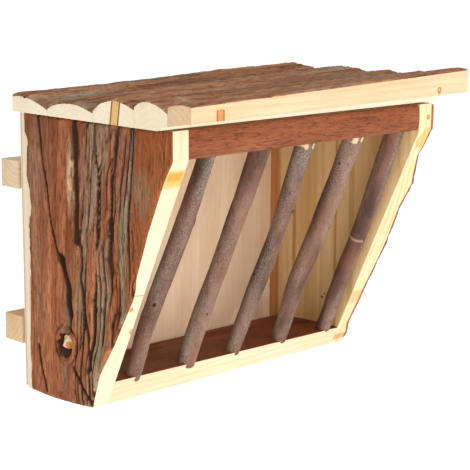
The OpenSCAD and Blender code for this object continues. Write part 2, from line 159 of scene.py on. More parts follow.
def mesh_from_grids(name, grids, sharp=50):
    """One closed mesh from grids of points that meet along their borders.
    A grid is (points, maps, material of each face, flip)."""
    points = np.concatenate([g[0].reshape(-1, 3) for g in grids])
    keys = np.round(points * 4000).astype(np.int64)
    keys = (keys[:, 0] * 7_000_003 + keys[:, 1]) * 7_000_003 + keys[:, 2]
    _, first, index = np.unique(keys, return_index=True, return_inverse=True)
    index = index.ravel()
    quads, kinds, start = [], [], 0
    for shape, maps, kind, flip in grids:
        m, n = shape.shape[:2]
        ids = index[start:start + m * n].reshape(m, n)
        start += m * n
        corners = [ids[:-1, :-1], ids[1:, :-1], ids[1:, 1:], ids[:-1, 1:]]
        if flip:
            corners.reverse()
        quads.append(np.stack(corners, -1).reshape(-1, 4))
        kinds.append(np.broadcast_to(kind, (m - 1, n - 1)).ravel())
    quads, kinds = np.concatenate(quads), np.concatenate(kinds)
    spots = points[first]
    a, b, c = spots[quads[:, 0]], spots[quads[:, 1]], spots[quads[:, 2]]
    d = spots[quads[:, 3]]
    volume = (a * np.cross(b, c)).sum() + (a * np.cross(c, d)).sum()
    if volume < 0:
        quads = quads[:, ::-1]
    faces = [list(dict.fromkeys(q)) for q in quads.tolist()]
    keep = [k for k, f in enumerate(faces) if len(f) > 2]
    mesh = bpy.data.meshes.new(name)
    mesh.from_pydata((spots * MM).tolist(), [], [faces[k] for k in keep])
    mesh.polygons.foreach_set("material_index", kinds[keep].astype(np.int32))
    mesh.polygons.foreach_set("use_smooth", np.ones(len(keep), bool))
    for word in MAPS:
        if any(word in g[1] for g in grids):
            values = np.concatenate([
                np.broadcast_to(g[1].get(word, 0.0), g[0].shape[:2]).ravel() for g in grids])
            attribute = mesh.attributes.new(word, "FLOAT", "POINT")
            attribute.data.foreach_set("value", values[first].astype(np.float32))
    mesh.update()
    mesh.set_sharp_from_angle(angle=math.radians(sharp))
    return mesh


def piece(name, mesh, looks, body, slot, *nodes):
    """Puts a finished mesh in the scene, on its body, in place of its CAD nodes."""
    made = bpy.data.objects.new(name, mesh)
    scene.collection.objects.link(made)
    for look in looks:
        mesh.materials.append(look)
    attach(made, body)
    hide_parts(*nodes)
    return made


def board(name, node, body, looks, place, bark, length, width, along, across,
          step=0.75, end_gap=0.5, edge_gap=0.5, slot="bark_wood"):
    """A split board with its bark on, as one closed skin.
    place(a, b) gives the inner and the outer point of the plain board; a runs along the grain, b across it.
    bark(a, b, outer) gives its maps: height (0 or less, in mm), skin (bark thickness) and the colour maps."""
    along, across = np.array(along, float), np.array(across, float)
    a_run, b_run = samples(length, step), samples(width, step)
    wood_run, bark_run = np.linspace(0, 1, 4), np.linspace(1, 2, 4)
    c_run = np.concatenate([wood_run, bark_run[1:]])

    def grid(a, b, c):
        inner, outer = place(a, b)
        maps = bark(a, b, outer)
        span = outer - inner
        thick = np.linalg.norm(span, axis=-1)
        out = span / thick[..., None]
        real = thick + maps["height"]
        skin = np.clip(maps["skin"], 0.02, real - 0.5)
        depth = np.where(c <= 1, c * (real - skin), real - skin * (2 - c))
        barky = np.sqrt(np.clip(c - 1, 0, 1)) * smooth(maps["skin"], 0.1, 0.5)
        points = inner + out * depth[..., None]
        ragged = 0.35 + 0.65 * layers(a * length + 7, b * width + c * 2, 5, 2.5, 17, 2)
        for share, reach_mm, way, gap in (
                (a, length, along, end_gap), (1 - a, length, -along, end_gap),
                (b, width, across, edge_gap), (1 - b, width, -across, edge_gap)):
            near = np.clip(1 - share * reach_mm / 1.6, 0, 1)
            points = points + way * (near * barky * gap * np.clip(ragged, 0, 1))[..., None]
            rounding = near ** 2 * barky * gap * 0.9
            points = points - out * rounding[..., None]
        return points, maps

    def sheet(a, b, c, flip, kind=None):
        shape = np.broadcast_shapes(a.shape, b.shape, c.shape)
        a, b, c = (np.broadcast_to(x, shape).astype(float) for x in (a, b, c))
        points, maps = grid(a, b, c)
        if kind is None:
            over = np.where(c > 1.001, 1.0, 0.0)
            cover = maps["skin"] * np.ones(shape)
            both = np.minimum(over[:-1, :-1] + over[1:, 1:], 1) * 0.5 * (cover[:-1, :-1] + cover[1:, 1:])
            kind = np.where(both > 0.16, 0, 1)
        return points, maps, kind, flip

    A, B = a_run[:, None], b_run[None, :]
    C = c_run[None, :]
    zero, one = np.zeros((1, 1)), np.ones((1, 1))
    grids = [
        sheet(A, B, 2 * one, False),
        sheet(A, B, zero, True, 1),
        sheet(one, b_run[:, None], C, False),
        sheet(zero, b_run[:, None], C, True),
        sheet(A, one, C, True),
        sheet(A, zero, C, False),
    ]
    return piece(name, mesh_from_grids(name, grids), looks, body, slot, node)


# ---- Looks ----

def paint(code):
    """A colour from its everyday six-digit code."""
    parts = [int(code[k:k + 2], 16) / 255 for k in (0, 2, 4)]
    return tuple(p / 12.92 if p <= 0.04045 else ((p + 0.055) / 1.055) ** 2.4 for p in parts) + (1,)


class Finish:
    """One material and the nodes that make its colour, gloss and fine relief."""

    def __init__(self, name, roughness=0.7, metallic=0.0, specular=0.35):
        self.material = bpy.data.materials.new(name)
        self.material.use_nodes = True
        self.nodes = self.material.node_tree.nodes
        self.links = self.material.node_tree.links
        self.shader = self.nodes["Principled BSDF"]
        self.shader.inputs["Roughness"].default_value = roughness
        self.shader.inputs["Metallic"].default_value = metallic
        self.shader.inputs["Specular IOR Level"].default_value = specular
        self.coords = self.nodes.new("ShaderNodeTexCoord").outputs["Object"]

    def put(self, socket, value):
        if isinstance(value, bpy.types.NodeSocket):
            self.links.new(value, socket)
        elif value is not None:
            socket.default_value = value

    def stretched(self, scale, turn=(0, 0, 0), shift=(0, 0, 0)):
        node = self.nodes.new("ShaderNodeMapping")
        node.inputs["Scale"].default_value = scale
        node.inputs["Rotation"].default_value = turn
        node.inputs["Location"].default_value = shift
        self.links.new(self.coords, node.inputs["Vector"])
        return node.outputs["Vector"]

    def noise(self, where, scale, detail=4, rough=0.55, twist=0.0):
        node = self.nodes.new("ShaderNodeTexNoise")
        self.put(node.inputs["Vector"], where)
        node.inputs["Scale"].default_value = scale
        node.inputs["Detail"].default_value = detail
        node.inputs["Roughness"].default_value = rough
        node.inputs["Distortion"].default_value = twist
        return node.outputs["Fac"]

    def map(self, word):
        node = self.nodes.new("ShaderNodeAttribute")
        node.attribute_name = word
        return node.outputs["Fac"]

    def sum(self, kind, a, b=None, c=None):
        node = self.nodes.new("ShaderNodeMath")
        node.operation = kind
        for socket, value in zip(node.inputs, (a, b, c)):
            self.put(socket, value)
        return node.outputs[0]

    def band(self, value, low, high, to_low=0.0, to_high=1.0):
        node = self.nodes.new("ShaderNodeMapRange")
        node.interpolation_type = "SMOOTHSTEP"
        self.put(node.inputs["Value"], value)
        for word, number in zip(("From Min", "From Max", "To Min", "To Max"), (low, high, to_low, to_high)):
            node.inputs[word].default_value = number
        return node.outputs["Result"]

    def ramp(self, value, *stops):
        node = self.nodes.new("ShaderNodeValToRGB")
        bar = node.color_ramp.elements
        while len(bar) < len(stops):
            bar.new(0.5)
        for mark, (at, code) in zip(bar, stops):
            mark.position = at
            mark.color = paint(code)
        self.put(node.inputs["Fac"], value)
        return node.outputs["Color"]

    def mix(self, share, a, b, kind="MIX"):
        node = self.nodes.new("ShaderNodeMix")
        node.data_type = "RGBA"
        node.blend_type = kind
        self.put(node.inputs[0], share)
        self.put(node.inputs[6], paint(a) if isinstance(a, str) else a)
        self.put(node.inputs[7], paint(b) if isinstance(b, str) else b)
        return node.outputs[2]

    def relief(self, height, distance, strength=1.0):
        """Adds fine relief; distance is how deep it is, in mm."""
        node = self.nodes.new("ShaderNodeBump")
        node.inputs["Strength"].default_value = strength
        node.inputs["Distance"].default_value = distance * MM
        self.put(node.inputs["Height"], height)
        before = self.shader.inputs["Normal"].links
        if before:
            self.links.new(before[0].from_socket, node.inputs["Normal"])
        self.links.new(node.outputs["Normal"], self.shader.inputs["Normal"])

    def done(self, colour, roughness=None):
        self.put(self.shader.inputs["Base Color"], colour)
        if roughness is not None:
            self.put(self.shader.inputs["Roughness"], roughness)
        return self.material


def with_grain(grain, fine, coarse):
    """Scale of a pattern drawn out along the grain."""
    return tuple(coarse if axis == grain else fine for axis in "XYZ")


def bark_finish(name, grain, base, warm, grey, dark="2e1a10", moss="7c745c", pale="c4a583", lean=0.0):
    """Split bark: fibrous, every strand of its own shade, grey weathering, and cracks almost black, partly
    the bark's own dark and partly painted shade. lean turns the pattern about X, for a piece whose grain
    isn't along an axis."""
    f = Finish(name, roughness=0.85, specular=0.2)
    turn = (lean, 0, 0)
    fibre = f.noise(f.stretched(with_grain(grain, 1.0, 0.12), turn), 1300, 5, 0.75)
    threads = f.noise(f.stretched(with_grain(grain, 1.0, 0.07), turn), 420, 6, 0.72)
    clouds = f.noise(f.stretched(with_grain(grain, 1.0, 0.22), turn), 75, 4, 0.6, 0.4)
    grit = f.noise(f.coords, 2200, 3, 0.7)
    tone = f.sum("ADD", f.sum("MULTIPLY", f.map("tone"), 0.50), f.sum("MULTIPLY", threads, 0.42))
    tone = f.sum("ADD", tone, f.sum("MULTIPLY", clouds, 0.22))
    colour = f.ramp(tone, (0.26, base[0]), (0.50, base[1]), (0.66, base[2]), (0.86, base[3]))
    smooth_tone = f.sum("ADD", f.sum("MULTIPLY", threads, 0.45), f.sum("MULTIPLY", clouds, 0.55))
    colour = f.mix(f.sum("MULTIPLY", f.map("smooth"), 0.92), colour,
                   f.ramp(smooth_tone, (0.34, warm[0]), (0.52, warm[1]), (0.70, warm[2])))
    weathered = f.sum("MULTIPLY", f.map("grey"), f.band(threads, 0.30, 0.58))
    colour = f.mix(weathered, colour, f.mix(f.band(clouds, 0.42, 0.58), grey, moss))
    colour = f.mix(f.sum("MULTIPLY", f.map("pale"), f.band(fibre, 0.3, 0.55)), colour, pale)
    streak = f.band(fibre, 0.30, 0.56)
    colour = f.mix(1.0, colour, f.ramp(streak, (0.0, "8d7d70"), (0.6, "ded7d0"), (1.0, "ffffff")), "MULTIPLY")
    # Almost black where relief is low, in cracks, pits and hollows: partly the bark's own dark, partly
    # painted shade.
    crack = f.band(f.map("relief"), 0.10, 0.72)
    colour = f.mix(crack, f.mix(f.band(grit, 0.45, 0.75), dark, base[0]), colour)
    f.relief(threads, 0.5, 0.7)
    f.relief(fibre, 0.28, 0.9)
    f.relief(grit, 0.10, 0.6)
    return f.done(colour, f.band(f.map("smooth"), 0.0, 1.0, 0.88, 0.62))


def sawn_finish(name, grain, heart, tint=("f4dfba", "edd1a3", "dcb681"), spacing=2.6, rings=0.38, knots=(),
                stains=(), seams=()):
    """Sawn pale wood. Its year rings lie round a heart line, given by its place in mm in the two axes across
    the grain. A knot is (place, radius), a stain is (place, size, colour), and a seam is (normal, distance,
    half width, colour, near, size)."""
    f = Finish(name, roughness=0.62, specular=0.25)
    flat = [0 if axis == grain else 1 for axis in "XYZ"]
    place = f.nodes.new("ShaderNodeVectorMath")
    place.operation = "MULTIPLY_ADD"
    f.links.new(f.coords, place.inputs[0])
    place.inputs[1].default_value = [k / MM for k in flat]
    at = list(heart)
    place.inputs[2].default_value = [0 if k == 0 else -at.pop(0) for k in flat]
    far = f.nodes.new("ShaderNodeVectorMath")
    far.operation = "LENGTH"
    f.links.new(place.outputs[0], far.inputs[0])
    bend = f.noise(f.stretched(with_grain(grain, 1.0, 0.12)), 45, 3, 0.5)
    uneven = f.noise(far.outputs["Value"], 0.21, 2, 0.6)
    ring = f.sum("ADD", f.sum("DIVIDE", far.outputs["Value"], spacing), f.sum("MULTIPLY", bend, 3.2))
    ring = f.sum("FRACT", ring)
    late = f.sum("MULTIPLY", f.band(ring, 0.30, 0.90), f.band(ring, 1.0, 0.92))
    late = f.sum("MULTIPLY", late, f.band(uneven, 0.35, 0.65, 0.25, 1.0))
    fibre = f.noise(f.stretched(with_grain(grain, 1.0, 0.03)), 1300, 4, 0.65, 0.2)
    broad = f.noise(f.stretched(with_grain(grain, 1.0, 0.12)), 60, 4, 0.55, 0.5)
    blush = f.noise(f.coords, 14, 2, 0.5)
    colour = f.ramp(f.sum("ADD", f.sum("MULTIPLY", broad, 0.6), f.sum("MULTIPLY", blush, 0.4)),
                    (0.36, tint[0]), (0.64, tint[1]))
    colour = f.mix(f.sum("MULTIPLY", late, rings), colour, tint[2])
    colour = f.mix(f.band(fibre, 0.35, 0.75, 0.0, 0.30), colour, tint[2])

    def away_from(point, size, stir, how_much):
        node = f.nodes.new("ShaderNodeVectorMath")
        node.operation = "DISTANCE"
        f.links.new(f.coords, node.inputs[0])
        node.inputs[1].default_value = [k * MM for k in point]
        return f.sum("ADD", f.sum("DIVIDE", node.outputs["Value"], size * MM),
                     f.sum("MULTIPLY", f.sum("SUBTRACT", stir, 0.5), how_much))
    for point, size, code in stains:
        colour = f.mix(f.band(away_from(point, size, broad, 1.2), 1.0, 0.65), colour, code)
    for normal, distance, half, code, point, size in seams:
        node = f.nodes.new("ShaderNodeVectorMath")
        node.operation = "DOT_PRODUCT"
        f.links.new(f.coords, node.inputs[0])
        node.inputs[1].default_value = normal
        off = f.sum("ABSOLUTE", f.sum("SUBTRACT", node.outputs["Value"], distance * MM))
        line = f.band(off, (half * 1.3 + 0.15) * MM, (half * 0.7 - 0.05) * MM)
        share = f.sum("MULTIPLY", line, f.band(away_from(point, size, broad, 0.2), 1.0, 0.9))
        colour = f.mix(share, colour, code, "MULTIPLY")
    for point, size in knots:
        rim = away_from(point, size, fibre, 0.6)
        colour = f.mix(f.band(rim, 1.7, 0.9, 0.0, 0.7), colour, "d8ab70")
        colour = f.mix(f.band(rim, 1.05, 0.85), colour, "80552f")
        colour = f.mix(f.band(rim, 0.78, 0.5), colour, "c09159")
    f.relief(fibre, 0.10, 0.7)
    f.relief(late, 0.06, 0.5)
    f.relief(f.noise(f.coords, 3200, 2, 0.6), 0.05, 0.6)
    return f.done(colour, f.band(broad, 0.3, 0.7, 0.55, 0.72))


upright_bark = bark_finish("upright bark", "Z", ("552f19", "84492a", "9e5f3d", "b48058"),
                           ("6f3814", "8a4a1c", "9f5f30"), "8f8670", moss="747559")
lid_bark = bark_finish("lid bark", "X", ("5a3420", "87573a", "a47656", "b89576"),
                       ("6d3e24", "8d5936", "a5764f"), "988f7c")
rail_bark = bark_finish("rail bark", "X", ("5e3119", "7d4428", "8f5637", "a0704f"),
                        ("70391e", "854a29", "935a37"), "8c7863")
floor_bark = bark_finish("bottom plank bark", "X", ("4a2816", "713c22", "82492b", "96623f"),
                         ("63351d", "7a4224", "8a5030"), "7d6a5a")

# ---- Sides ----

EDGE_T = {"left": INNER_L + BODY_HALF, "right": BODY_HALF - INNER_R}
BACK_EXTRA, BULGE = 2.3, 3.2


def front_edge_y(z):
    """Y of a side's front edge at a height."""
    return np.where(z > RAIL_LOW, FRONT_Y, FOOT_Y - (z - UNDERSIDE) * SLANT)


def crowned(a, b, crown, s):
    return a + (b - a) * s + crown * np.sin(np.pi * np.clip(s, 0, 1)) ** 0.8


# How thick each side is along its front edge: (height above the underside, thickness), in mm
FRONT_EDGE = {
    "left": [(0, 12.6), (3, 13.6), (20, 15.6), (36, 12.3), (60, 9.6), (80, 10.9), (97, 12.3), (122, 12.8),
             (133, 11.3), (147, 11.4)],
    "right": [(0, 9.5), (3, 12.4), (6, 12.8), (12, 10.2), (24, 11.4), (40, 12.6), (54, 14.3), (66, 14.9),
              (75, 14.2), (85, 13.5), (87, 13.6), (100, 16.4), (103, 15.0), (111, 12.5), (118, 10.4),
              (132, 13.1), (147, 13.1)]}


def side_place(which):
    sign = -1 if which == "left" else 1
    inner_x = INNER_L if which == "left" else INNER_R
    heights, thicknesses = zip(*FRONT_EDGE[which])

    def place(a, b):
        z = UNDERSIDE + a * (BODY_TOP - UNDERSIDE)
        front = front_edge_y(z)
        y = front + b * (BACK_Y - front)
        s = (y - FRONT_Y) / (BACK_Y - FRONT_Y)
        t = crowned(EDGE_T[which], EDGE_T[which] + BACK_EXTRA, BULGE, s)
        edge = np.interp(z - UNDERSIDE, heights, thicknesses)
        t = edge + (t - edge) * smooth(y - front, 0, 34)
        inner = np.stack([np.full_like(y, inner_x), y, z], -1)
        outer = np.stack([inner_x + sign * t, y, z], -1)
        return inner, outer
    return place


def split_bark(u, v, seed, ridged, widths=(9.5, 3.0), lengths=(95, 42), depth=1.0):
    """Fibrous bark over u along the grain and v across it. ridged, from 0 to 1, is how deep its slim strands
    stand. Gives the height in mm (about 0 down to -2.5 times depth) and the maps its colours follow."""
    drift = v + 1.8 * noise(u, v, 60, 26, seed) + 0.6 * noise(u, v, 13, 7, seed + 1)
    near, gape, shade, share = strands(u, drift, widths[0], lengths[0], seed + 2)
    slim_near, slim_gape, slim_shade, slim_share = strands(u, drift, widths[1], lengths[1], seed + 8)
    crack = (0.35 + 0.65 * ridged) * smooth(gape, 0.0, 0.45) * np.exp(-(near / 0.75) ** 2)
    slim_crack = ridged * smooth(slim_gape, -0.35, 0.4) * np.exp(-(slim_near / 0.55) ** 2)
    crown = np.sqrt(np.clip(1 - (2 * share - 1) ** 2, 0, 1))
    slim_crown = np.sqrt(np.clip(1 - (2 * slim_share - 1) ** 2, 0, 1))
    fibres = layers(u, drift, 34, 1.5, seed + 14, 2)
    scales = smooth(layers(u, drift, 9, 3.2, seed + 17, 2), 0.05, 0.22)
    flakes = layers(u, drift + 0.15 * u, 6.5, 1.3, seed + 11, 3)
    pits = (0.35 + 0.65 * ridged) * smooth(-flakes, 0.28, 0.55)
    height = depth * (0.40 * (crown - 1) + ridged * 0.60 * (slim_crown - 1) - 1.1 * crack - 0.8 * slim_crack
                      + 0.16 * fibres + 0.14 * (scales - 0.5) + 0.22 * flakes - 0.25 * pits
                      + 0.30 * (shade - 0.5) + 0.35 * ridged * (slim_shade - 0.5)
                      + 0.35 * layers(u, v, 46, 18, seed + 20, 2) - 0.45)
    # relief falls towards 0 in cracks and pits, where the bark finishes paint the colour almost black: partly
    # the bark's own dark, partly painted shade.
    return {"height": height, "relief": np.clip(1 - 0.95 * crack - 0.85 * slim_crack - 0.5 * pits, 0, 1),
            "tone": np.clip(0.5 + 0.45 * (shade - 0.5) + 0.45 * (slim_shade - 0.5) + 0.14 * fibres
                            + 0.22 * flakes, 0, 1),
            "drift": drift, "crown": slim_crown}


def left_bark(a, b, outer):
    y, z = outer[..., 1], outer[..., 2] - UNDERSIDE
    lean = y + 0.10 * (z - 80) * smooth(-y, 5, 60)
    smooth_zone = smooth(-lean + 1.5 * noise(z, y, 18, 6, 23), 86, 91) * smooth(z, 60, 76)
    front_strip = smooth(front_edge_y(z) + 13 - y, -5, 4) * smooth(z, 0, 20)
    smooth_zone = np.maximum(smooth_zone, 0.75 * front_strip)
    ridged = smooth(-lean, 48, 54) * (1 - smooth_zone)
    ridged = np.maximum(ridged, 0.35 * smooth(layers(z, y, 60, 9, 29, 2), -0.1, 0.4) * (1 - smooth_zone))
    maps = split_bark(z, lean, 5, ridged)
    drift = maps["drift"]
    height = -0.35 + maps["height"] * (1 - 0.85 * smooth_zone)

    def fissure(points, wide, deep):
        away = line_distance(y + 0.7 * noise(z, y, 7, 7, 21), z, points) / wide
        return deep * np.exp(-away ** 2)
    cuts = (fissure([(-19.5, 147), (-24, 120), (-30, 92), (-36, 76), (-42, 67), (-45.5, 40)], 0.85, 2.4)
            + fissure([(-50.5, 147), (-51.5, 110), (-51, 86)], 1.9, 2.2)
            + fissure([(-38, 76), (-43, 63), (-44.5, 48)], 1.9, 2.4)
            + fissure([(-16.5, 26), (-19, 14), (-23, 3)], 1.0, 2.0)
            + fissure([(-47, 20), (-53, 11), (-59, 2)], 1.1, 2.0)
            + fissure([(-55, 84), (-54, 60), (-57, 34), (-60, 22)], 1.0, 1.6)
            + fissure([(-113.5, 146), (-112, 138), (-113, 128)], 0.5, 1.1)
            + fissure([(-109, 143), (-112, 139)], 0.5, 0.9)
            + fissure([(-90, 96), (-89, 74), (-84, 58)], 0.7, 1.5)
            + fissure([(-74, 52), (-72, 30), (-69, 22)], 0.8, 1.2)
            + fissure([(-66, 146), (-68, 112), (-66, 84)], 0.7, 1.2)
            + fissure([(-78, 130), (-77, 96), (-74, 70)], 0.7, 1.2))
    height = height - cuts
    # The knot: a broken stub in a swirl of bark
    knot = spot(y, z, (-40.5, 31), 11, 12)
    core = spot(y, z, (-41.0, 32.5), 5.6, 4.4) * (1 + 0.5 * noise(z, y, 2.2, 1.8, 28))
    swirl = np.hypot(y + 40.5, (z - 31) * 0.8) + 1.2 * noise(z, y, 6, 6, 24)
    height = height + smooth(knot, 0, 0.4) * (1.0 * np.sin(swirl * 1.25) - 0.1)
    splinters = 0.7 + 0.5 * noise(z, y, 1.9, 1.4, 26)
    height = height - 1.9 * smooth(core, 0.0, 0.3) + 1.5 * smooth(core, 0.25, 0.6) * splinters
    height = np.clip(height, -4.4, 0.6)
    # Bare sapwood shows along the back edge and here and there along the bottom.
    back_rim = 9.0 + 1.7 * layers(z, y * 0, 16, 9, 31, 3) + 2.6 * smooth(z, 90, 98) * smooth(z, 114, 106)
    back_rim = back_rim - 2.2 * smooth(z, 132, 138)
    stripped = smooth(-y, back_rim + 0.35, back_rim - 0.35)
    low_rim = 0.3 + 1.8 * np.clip(layers(y, z * 0, 11, 9, 33, 3), 0, 1)
    stripped = np.maximum(stripped, smooth(z, low_rim + 0.3, low_rim - 0.3))
    stripped = np.maximum(stripped, smooth(core, 0.30, 0.42))
    skin = np.clip(0.8 + 1.9 * (1 - smooth_zone) + height + 0.8, 0.3, 4)
    skin = np.where(stripped > 0.5, 0, skin)
    bare_height = np.minimum(height, -1.2) - 0.5 * smooth(-y, 5, 12)
    height = np.where((stripped > 0.5) & (core < 0.2), bare_height, height)
    hollow = smooth(knot, 0.05, 0.45) * smooth(-np.sin(swirl * 1.25), -0.2, 0.7)
    hollow = np.maximum(hollow, 0.8 * smooth(knot, 0.45, 0.75) * smooth(noise(z, y, 3.2, 1.6, 27), -0.3, 0.3))
    # relief is lowered further in the fissures, in the swirl's hollows and round the knot's core, and the
    # finish paints these almost black: partly the bark's own dark, partly painted shade.
    crack = np.clip(maps["relief"] + 0.8 * smooth_zone - 0.60 * cuts - 0.75 * hollow, 0, 1)
    crack = np.clip(crack - 0.9 * smooth(core, -0.05, 0.15) * (1 - smooth(core, 0.25, 0.4)), 0, 1)
    grey = ridged * maps["crown"] * smooth(layers(z, drift, 70, 5.0, 41, 2), -0.25, 0.45)
    grey = np.maximum(grey, 0.35 * smooth(layers(z, drift, 80, 8, 42, 2), 0.1, 0.6)) * (1 - smooth_zone)
    grey = np.maximum(grey, 0.55 * spot(y, z, (-99, 115), 7, 14))
    flakes = smooth(layers(z, drift, 5, 2.2, 44, 2), -0.1, 0.4)
    pale = 1.2 * spot(y, z, (-49, 112), 4.5, 22) * flakes + 0.8 * spot(y, z, (-46.5, 118), 2.5, 24)
    pale = np.clip(pale, 0, 1)
    pale = np.maximum(pale, 0.5 * spot(y, z, (-54, 86), 6, 9) * flakes)
    return {"height": height, "skin": skin, "relief": crack, "tone": maps["tone"],
            "grey": grey, "smooth": smooth_zone, "pale": pale}


def plain_bark(seed, mean_skin=2.0, depth=1.0, widths=(8.0, 2.8), smooth_share=-0.4, grey_share=0.0,
               ridged=0.6):
    """Bark with no special marks."""
    def maps_of(u, v):
        smooth_zone = smooth(layers(u, v, 60, 16, seed + 24, 2), 0.1 - smooth_share, 0.4 - smooth_share)
        folds = ridged * (1 - 0.9 * smooth_zone) * smooth(layers(u, v, 55, 12, seed + 25, 2), -0.5, 0.2)
        maps = split_bark(u, v, seed, folds, widths=widths, depth=depth)
        height = maps["height"] * (1 - 0.7 * smooth_zone)
        height = np.clip(height, -mean_skin - 0.4, 0)
        weather = layers(u, maps["drift"], 70, 6, seed + 26, 2)
        grey = (maps["crown"] * 0.5 + 0.5) * smooth(weather, 0.35 - grey_share, 0.8 - grey_share)
        return {"height": height, "skin": np.maximum(mean_skin + height, 0.35), "relief": maps["relief"],
                "tone": maps["tone"], "grey": grey * (1 - 0.6 * smooth_zone), "smooth": smooth_zone,
                "pale": 0.0 * u}
    return maps_of


right_maps = plain_bark(52, mean_skin=3.0, depth=1.2, widths=(9.0, 3.0), grey_share=0.1)


def right_bark(a, b, outer):
    y, z = outer[..., 1], outer[..., 2] - UNDERSIDE
    maps = right_maps(z, y)
    # A sawn-off branch leaves bare wood at the edge, and the bark ends early at the foot.
    from_edge = y - front_edge_y(z)
    thin = np.maximum(spot(from_edge, z, (0, 30), 9, 12), 0.4 * spot(from_edge, z, (0, 121), 9, 9))
    maps["skin"] = np.maximum(maps["skin"] * (1 - 0.6 * smooth(thin, 0, 0.5)), 0.8)
    cut_off = spot(from_edge, z, (-2, 93.5), 9, 7.6) > 0.02
    maps["skin"] = np.where(cut_off | (z < 2.2 + noise(y, z * 0, 9, 9, 58)), 0, maps["skin"])
    maps["height"] = np.where(cut_off, 0.0, maps["height"])
    rim = 8.5 + 1.6 * layers(z, y * 0, 16, 9, 57, 3)
    bare = smooth(-y, rim + 0.3, rim - 0.3)
    maps["skin"] = np.where(bare > 0.5, 0, maps["skin"])
    maps["height"] = np.where(bare > 0.5, np.minimum(maps["height"], -1.4), maps["height"])
    return maps


left_cut = sawn_finish(
    "left side, sawn", "Z", (-60, -60), spacing=2.9, tint=("dfcdb5", "d8c2a2", "c2a378"), rings=0.3,
    knots=(((-91, -99 + 17, above(55)), 1.2), ((-86, -75.7, above(42)), 1.3)),
    stains=(((-100, -43.0, above(31.0)), 2.6, "c07a36"), ((-100, -39.0, above(33.5)), 2.0, "d99a4c"),
            ((-93, -85, above(60)), 3.5, "ddbb84")),
    seams=(((0, 0, 1), above(123.4), 4.2, "f8dc9c", (-95, -113.3, above(124)), 11),
           ((0, 0, 1), above(124.5), 2.2, "f8dfa6", (-91, -113.3, above(125)), 5.0),
           ((0.12, 0, 1.0), above(63) - 11.2, 0.25, "c8a47c", (-93, -85, above(63)), 9)))
right_cut = sawn_finish(
    "right side, sawn", "Z", (30, -75), spacing=4.2, tint=("e2cca6", "d9bd90", "bf9660"), rings=0.5,
    knots=(((91, FRONT_Y, above(139)), 1.3),),
    stains=(((INNER_R, -48.4, -44.5), 1.1, "5a4331"), ((INNER_R, -50.5, -42.2), 0.7, "5a4331")),
    seams=(((1, 0, 0), INNER_R, 0.3, "fdf6ea", (INNER_R, -50, 0), 300),
           ((0, 1, 0), -8.8, 4.0, "dfb494", (INNER_R, -8.8, 0), 90),
           ((0, 1, 0), -36, 7.0, "f4ecdd", (INNER_R, -36, 0), 90),
           ((0, 1, 0), -25, 1.2, "dfc8b0", (INNER_R, -25, 0), 90),
           ((0, 1, 0), -58, 0.8, "dcccb6", (INNER_R, -58, 0), 90),
           ((0, 1, 0), -70, 2.0, "e4dfcc", (INNER_R, -70, 20), 70),
           ((0, 0, 1), above(127.5), 6.0, "f8e0b2", (94, -113.3, above(127)), 9)))

BODY_H = BODY_TOP - UNDERSIDE
BODY_DEPTH = 112.7
board("left_side_bark_board", "left_side", "rack", (upright_bark, left_cut), side_place("left"), left_bark,
      BODY_H, BODY_DEPTH, (0, 0, 1), (0, 1, 0), step=0.72, end_gap=0.9, edge_gap=0.5)
board("right_side_bark_board", "right_side", "rack", (upright_bark, right_cut), side_place("right"),
      right_bark, BODY_H, BODY_DEPTH, (0, 0, 1), (0, 1, 0), step=0.85, end_gap=0.9, edge_gap=0.5)

# ---- Rail and bottom plank ----

rail_low, rail_high = reach("front_rail")


def rail_place(a, b):
    x = rail_low[0] + a * (rail_high[0] - rail_low[0])
    z = rail_low[2] + b * (rail_high[2] - rail_low[2])
    inner = np.stack([x, np.full_like(x, rail_high[1]), z], -1)
    front = rail_low[1] + 1.2 - 1.2 * np.sin(np.pi * b) ** 0.8
    outer = np.stack([x, front + 0 * x, z], -1)
    return inner, outer


rail_maps = plain_bark(63, mean_skin=1.1, depth=0.2, widths=(6, 2.4), smooth_share=1.4, ridged=0.0)


def rail_face(a, b, outer):
    return rail_maps(outer[..., 0], outer[..., 2])


rail_cut = sawn_finish("rail, sawn", "X", (-100, 60), tint=("e2b98a", "cf9f6d", "b37f50"))
board("front_rail_bark", "front_rail", "rack", (rail_bark, rail_cut), rail_place, rail_face,
      rail_high[0] - rail_low[0], 14.2, (1, 0, 0), (0, 0, 1), step=0.7, end_gap=0.0, edge_gap=0.35)

plank_low, plank_high = reach("bottom_plank")
PLANK_H = 13.4


def plank_place(a, b):
    x = plank_low[0] + a * (plank_high[0] - plank_low[0])
    height = PLANK_H - 2.4 * a
    front_top = FOOT_Y - height * SLANT
    back = plank_high[1]
    y_low = FOOT_Y + b * (back - FOOT_Y)
    y_top = front_top + b * (back - front_top)
    crown = crowned(height, height * 0.75, 1.6, b)
    inner = np.stack([x, y_low, np.full_like(x, UNDERSIDE)], -1)
    outer = np.stack([x, y_top, UNDERSIDE + crown], -1)
    return inner, outer


plank_maps = plain_bark(71, mean_skin=1.8, depth=0.4, widths=(9, 3.2), smooth_share=0.6, grey_share=-0.4,
                        ridged=0.3)


def plank_top(a, b, outer):
    maps = plank_maps(outer[..., 0], outer[..., 1])
    front = np.clip(1 - b * 50 / 3.0, 0, 1)
    maps["height"] = maps["height"] * (1 - 0.6 * front)
    maps["skin"] = maps["skin"] * (1 - 0.85 * front) + 0.1
    return maps


plank_cut = sawn_finish("bottom plank, sawn", "X", (-20, -95), spacing=3.4,
                        tint=("dac4a3", "d2b997", "bd9565"), rings=0.3)
board("bottom_plank_bark", "bottom_plank", "rack", (floor_bark, plank_cut), plank_place, plank_top,
      plank_high[0] - plank_low[0], 53, (1, 0, 0), (0, 1, 0), step=0.8, end_gap=0.0, edge_gap=0.3)

# ---- Bars ----

STATIONS = (8, 24, 40, 56, 72, 88, 104, 124)  # distances up a bar from its foot, in mm
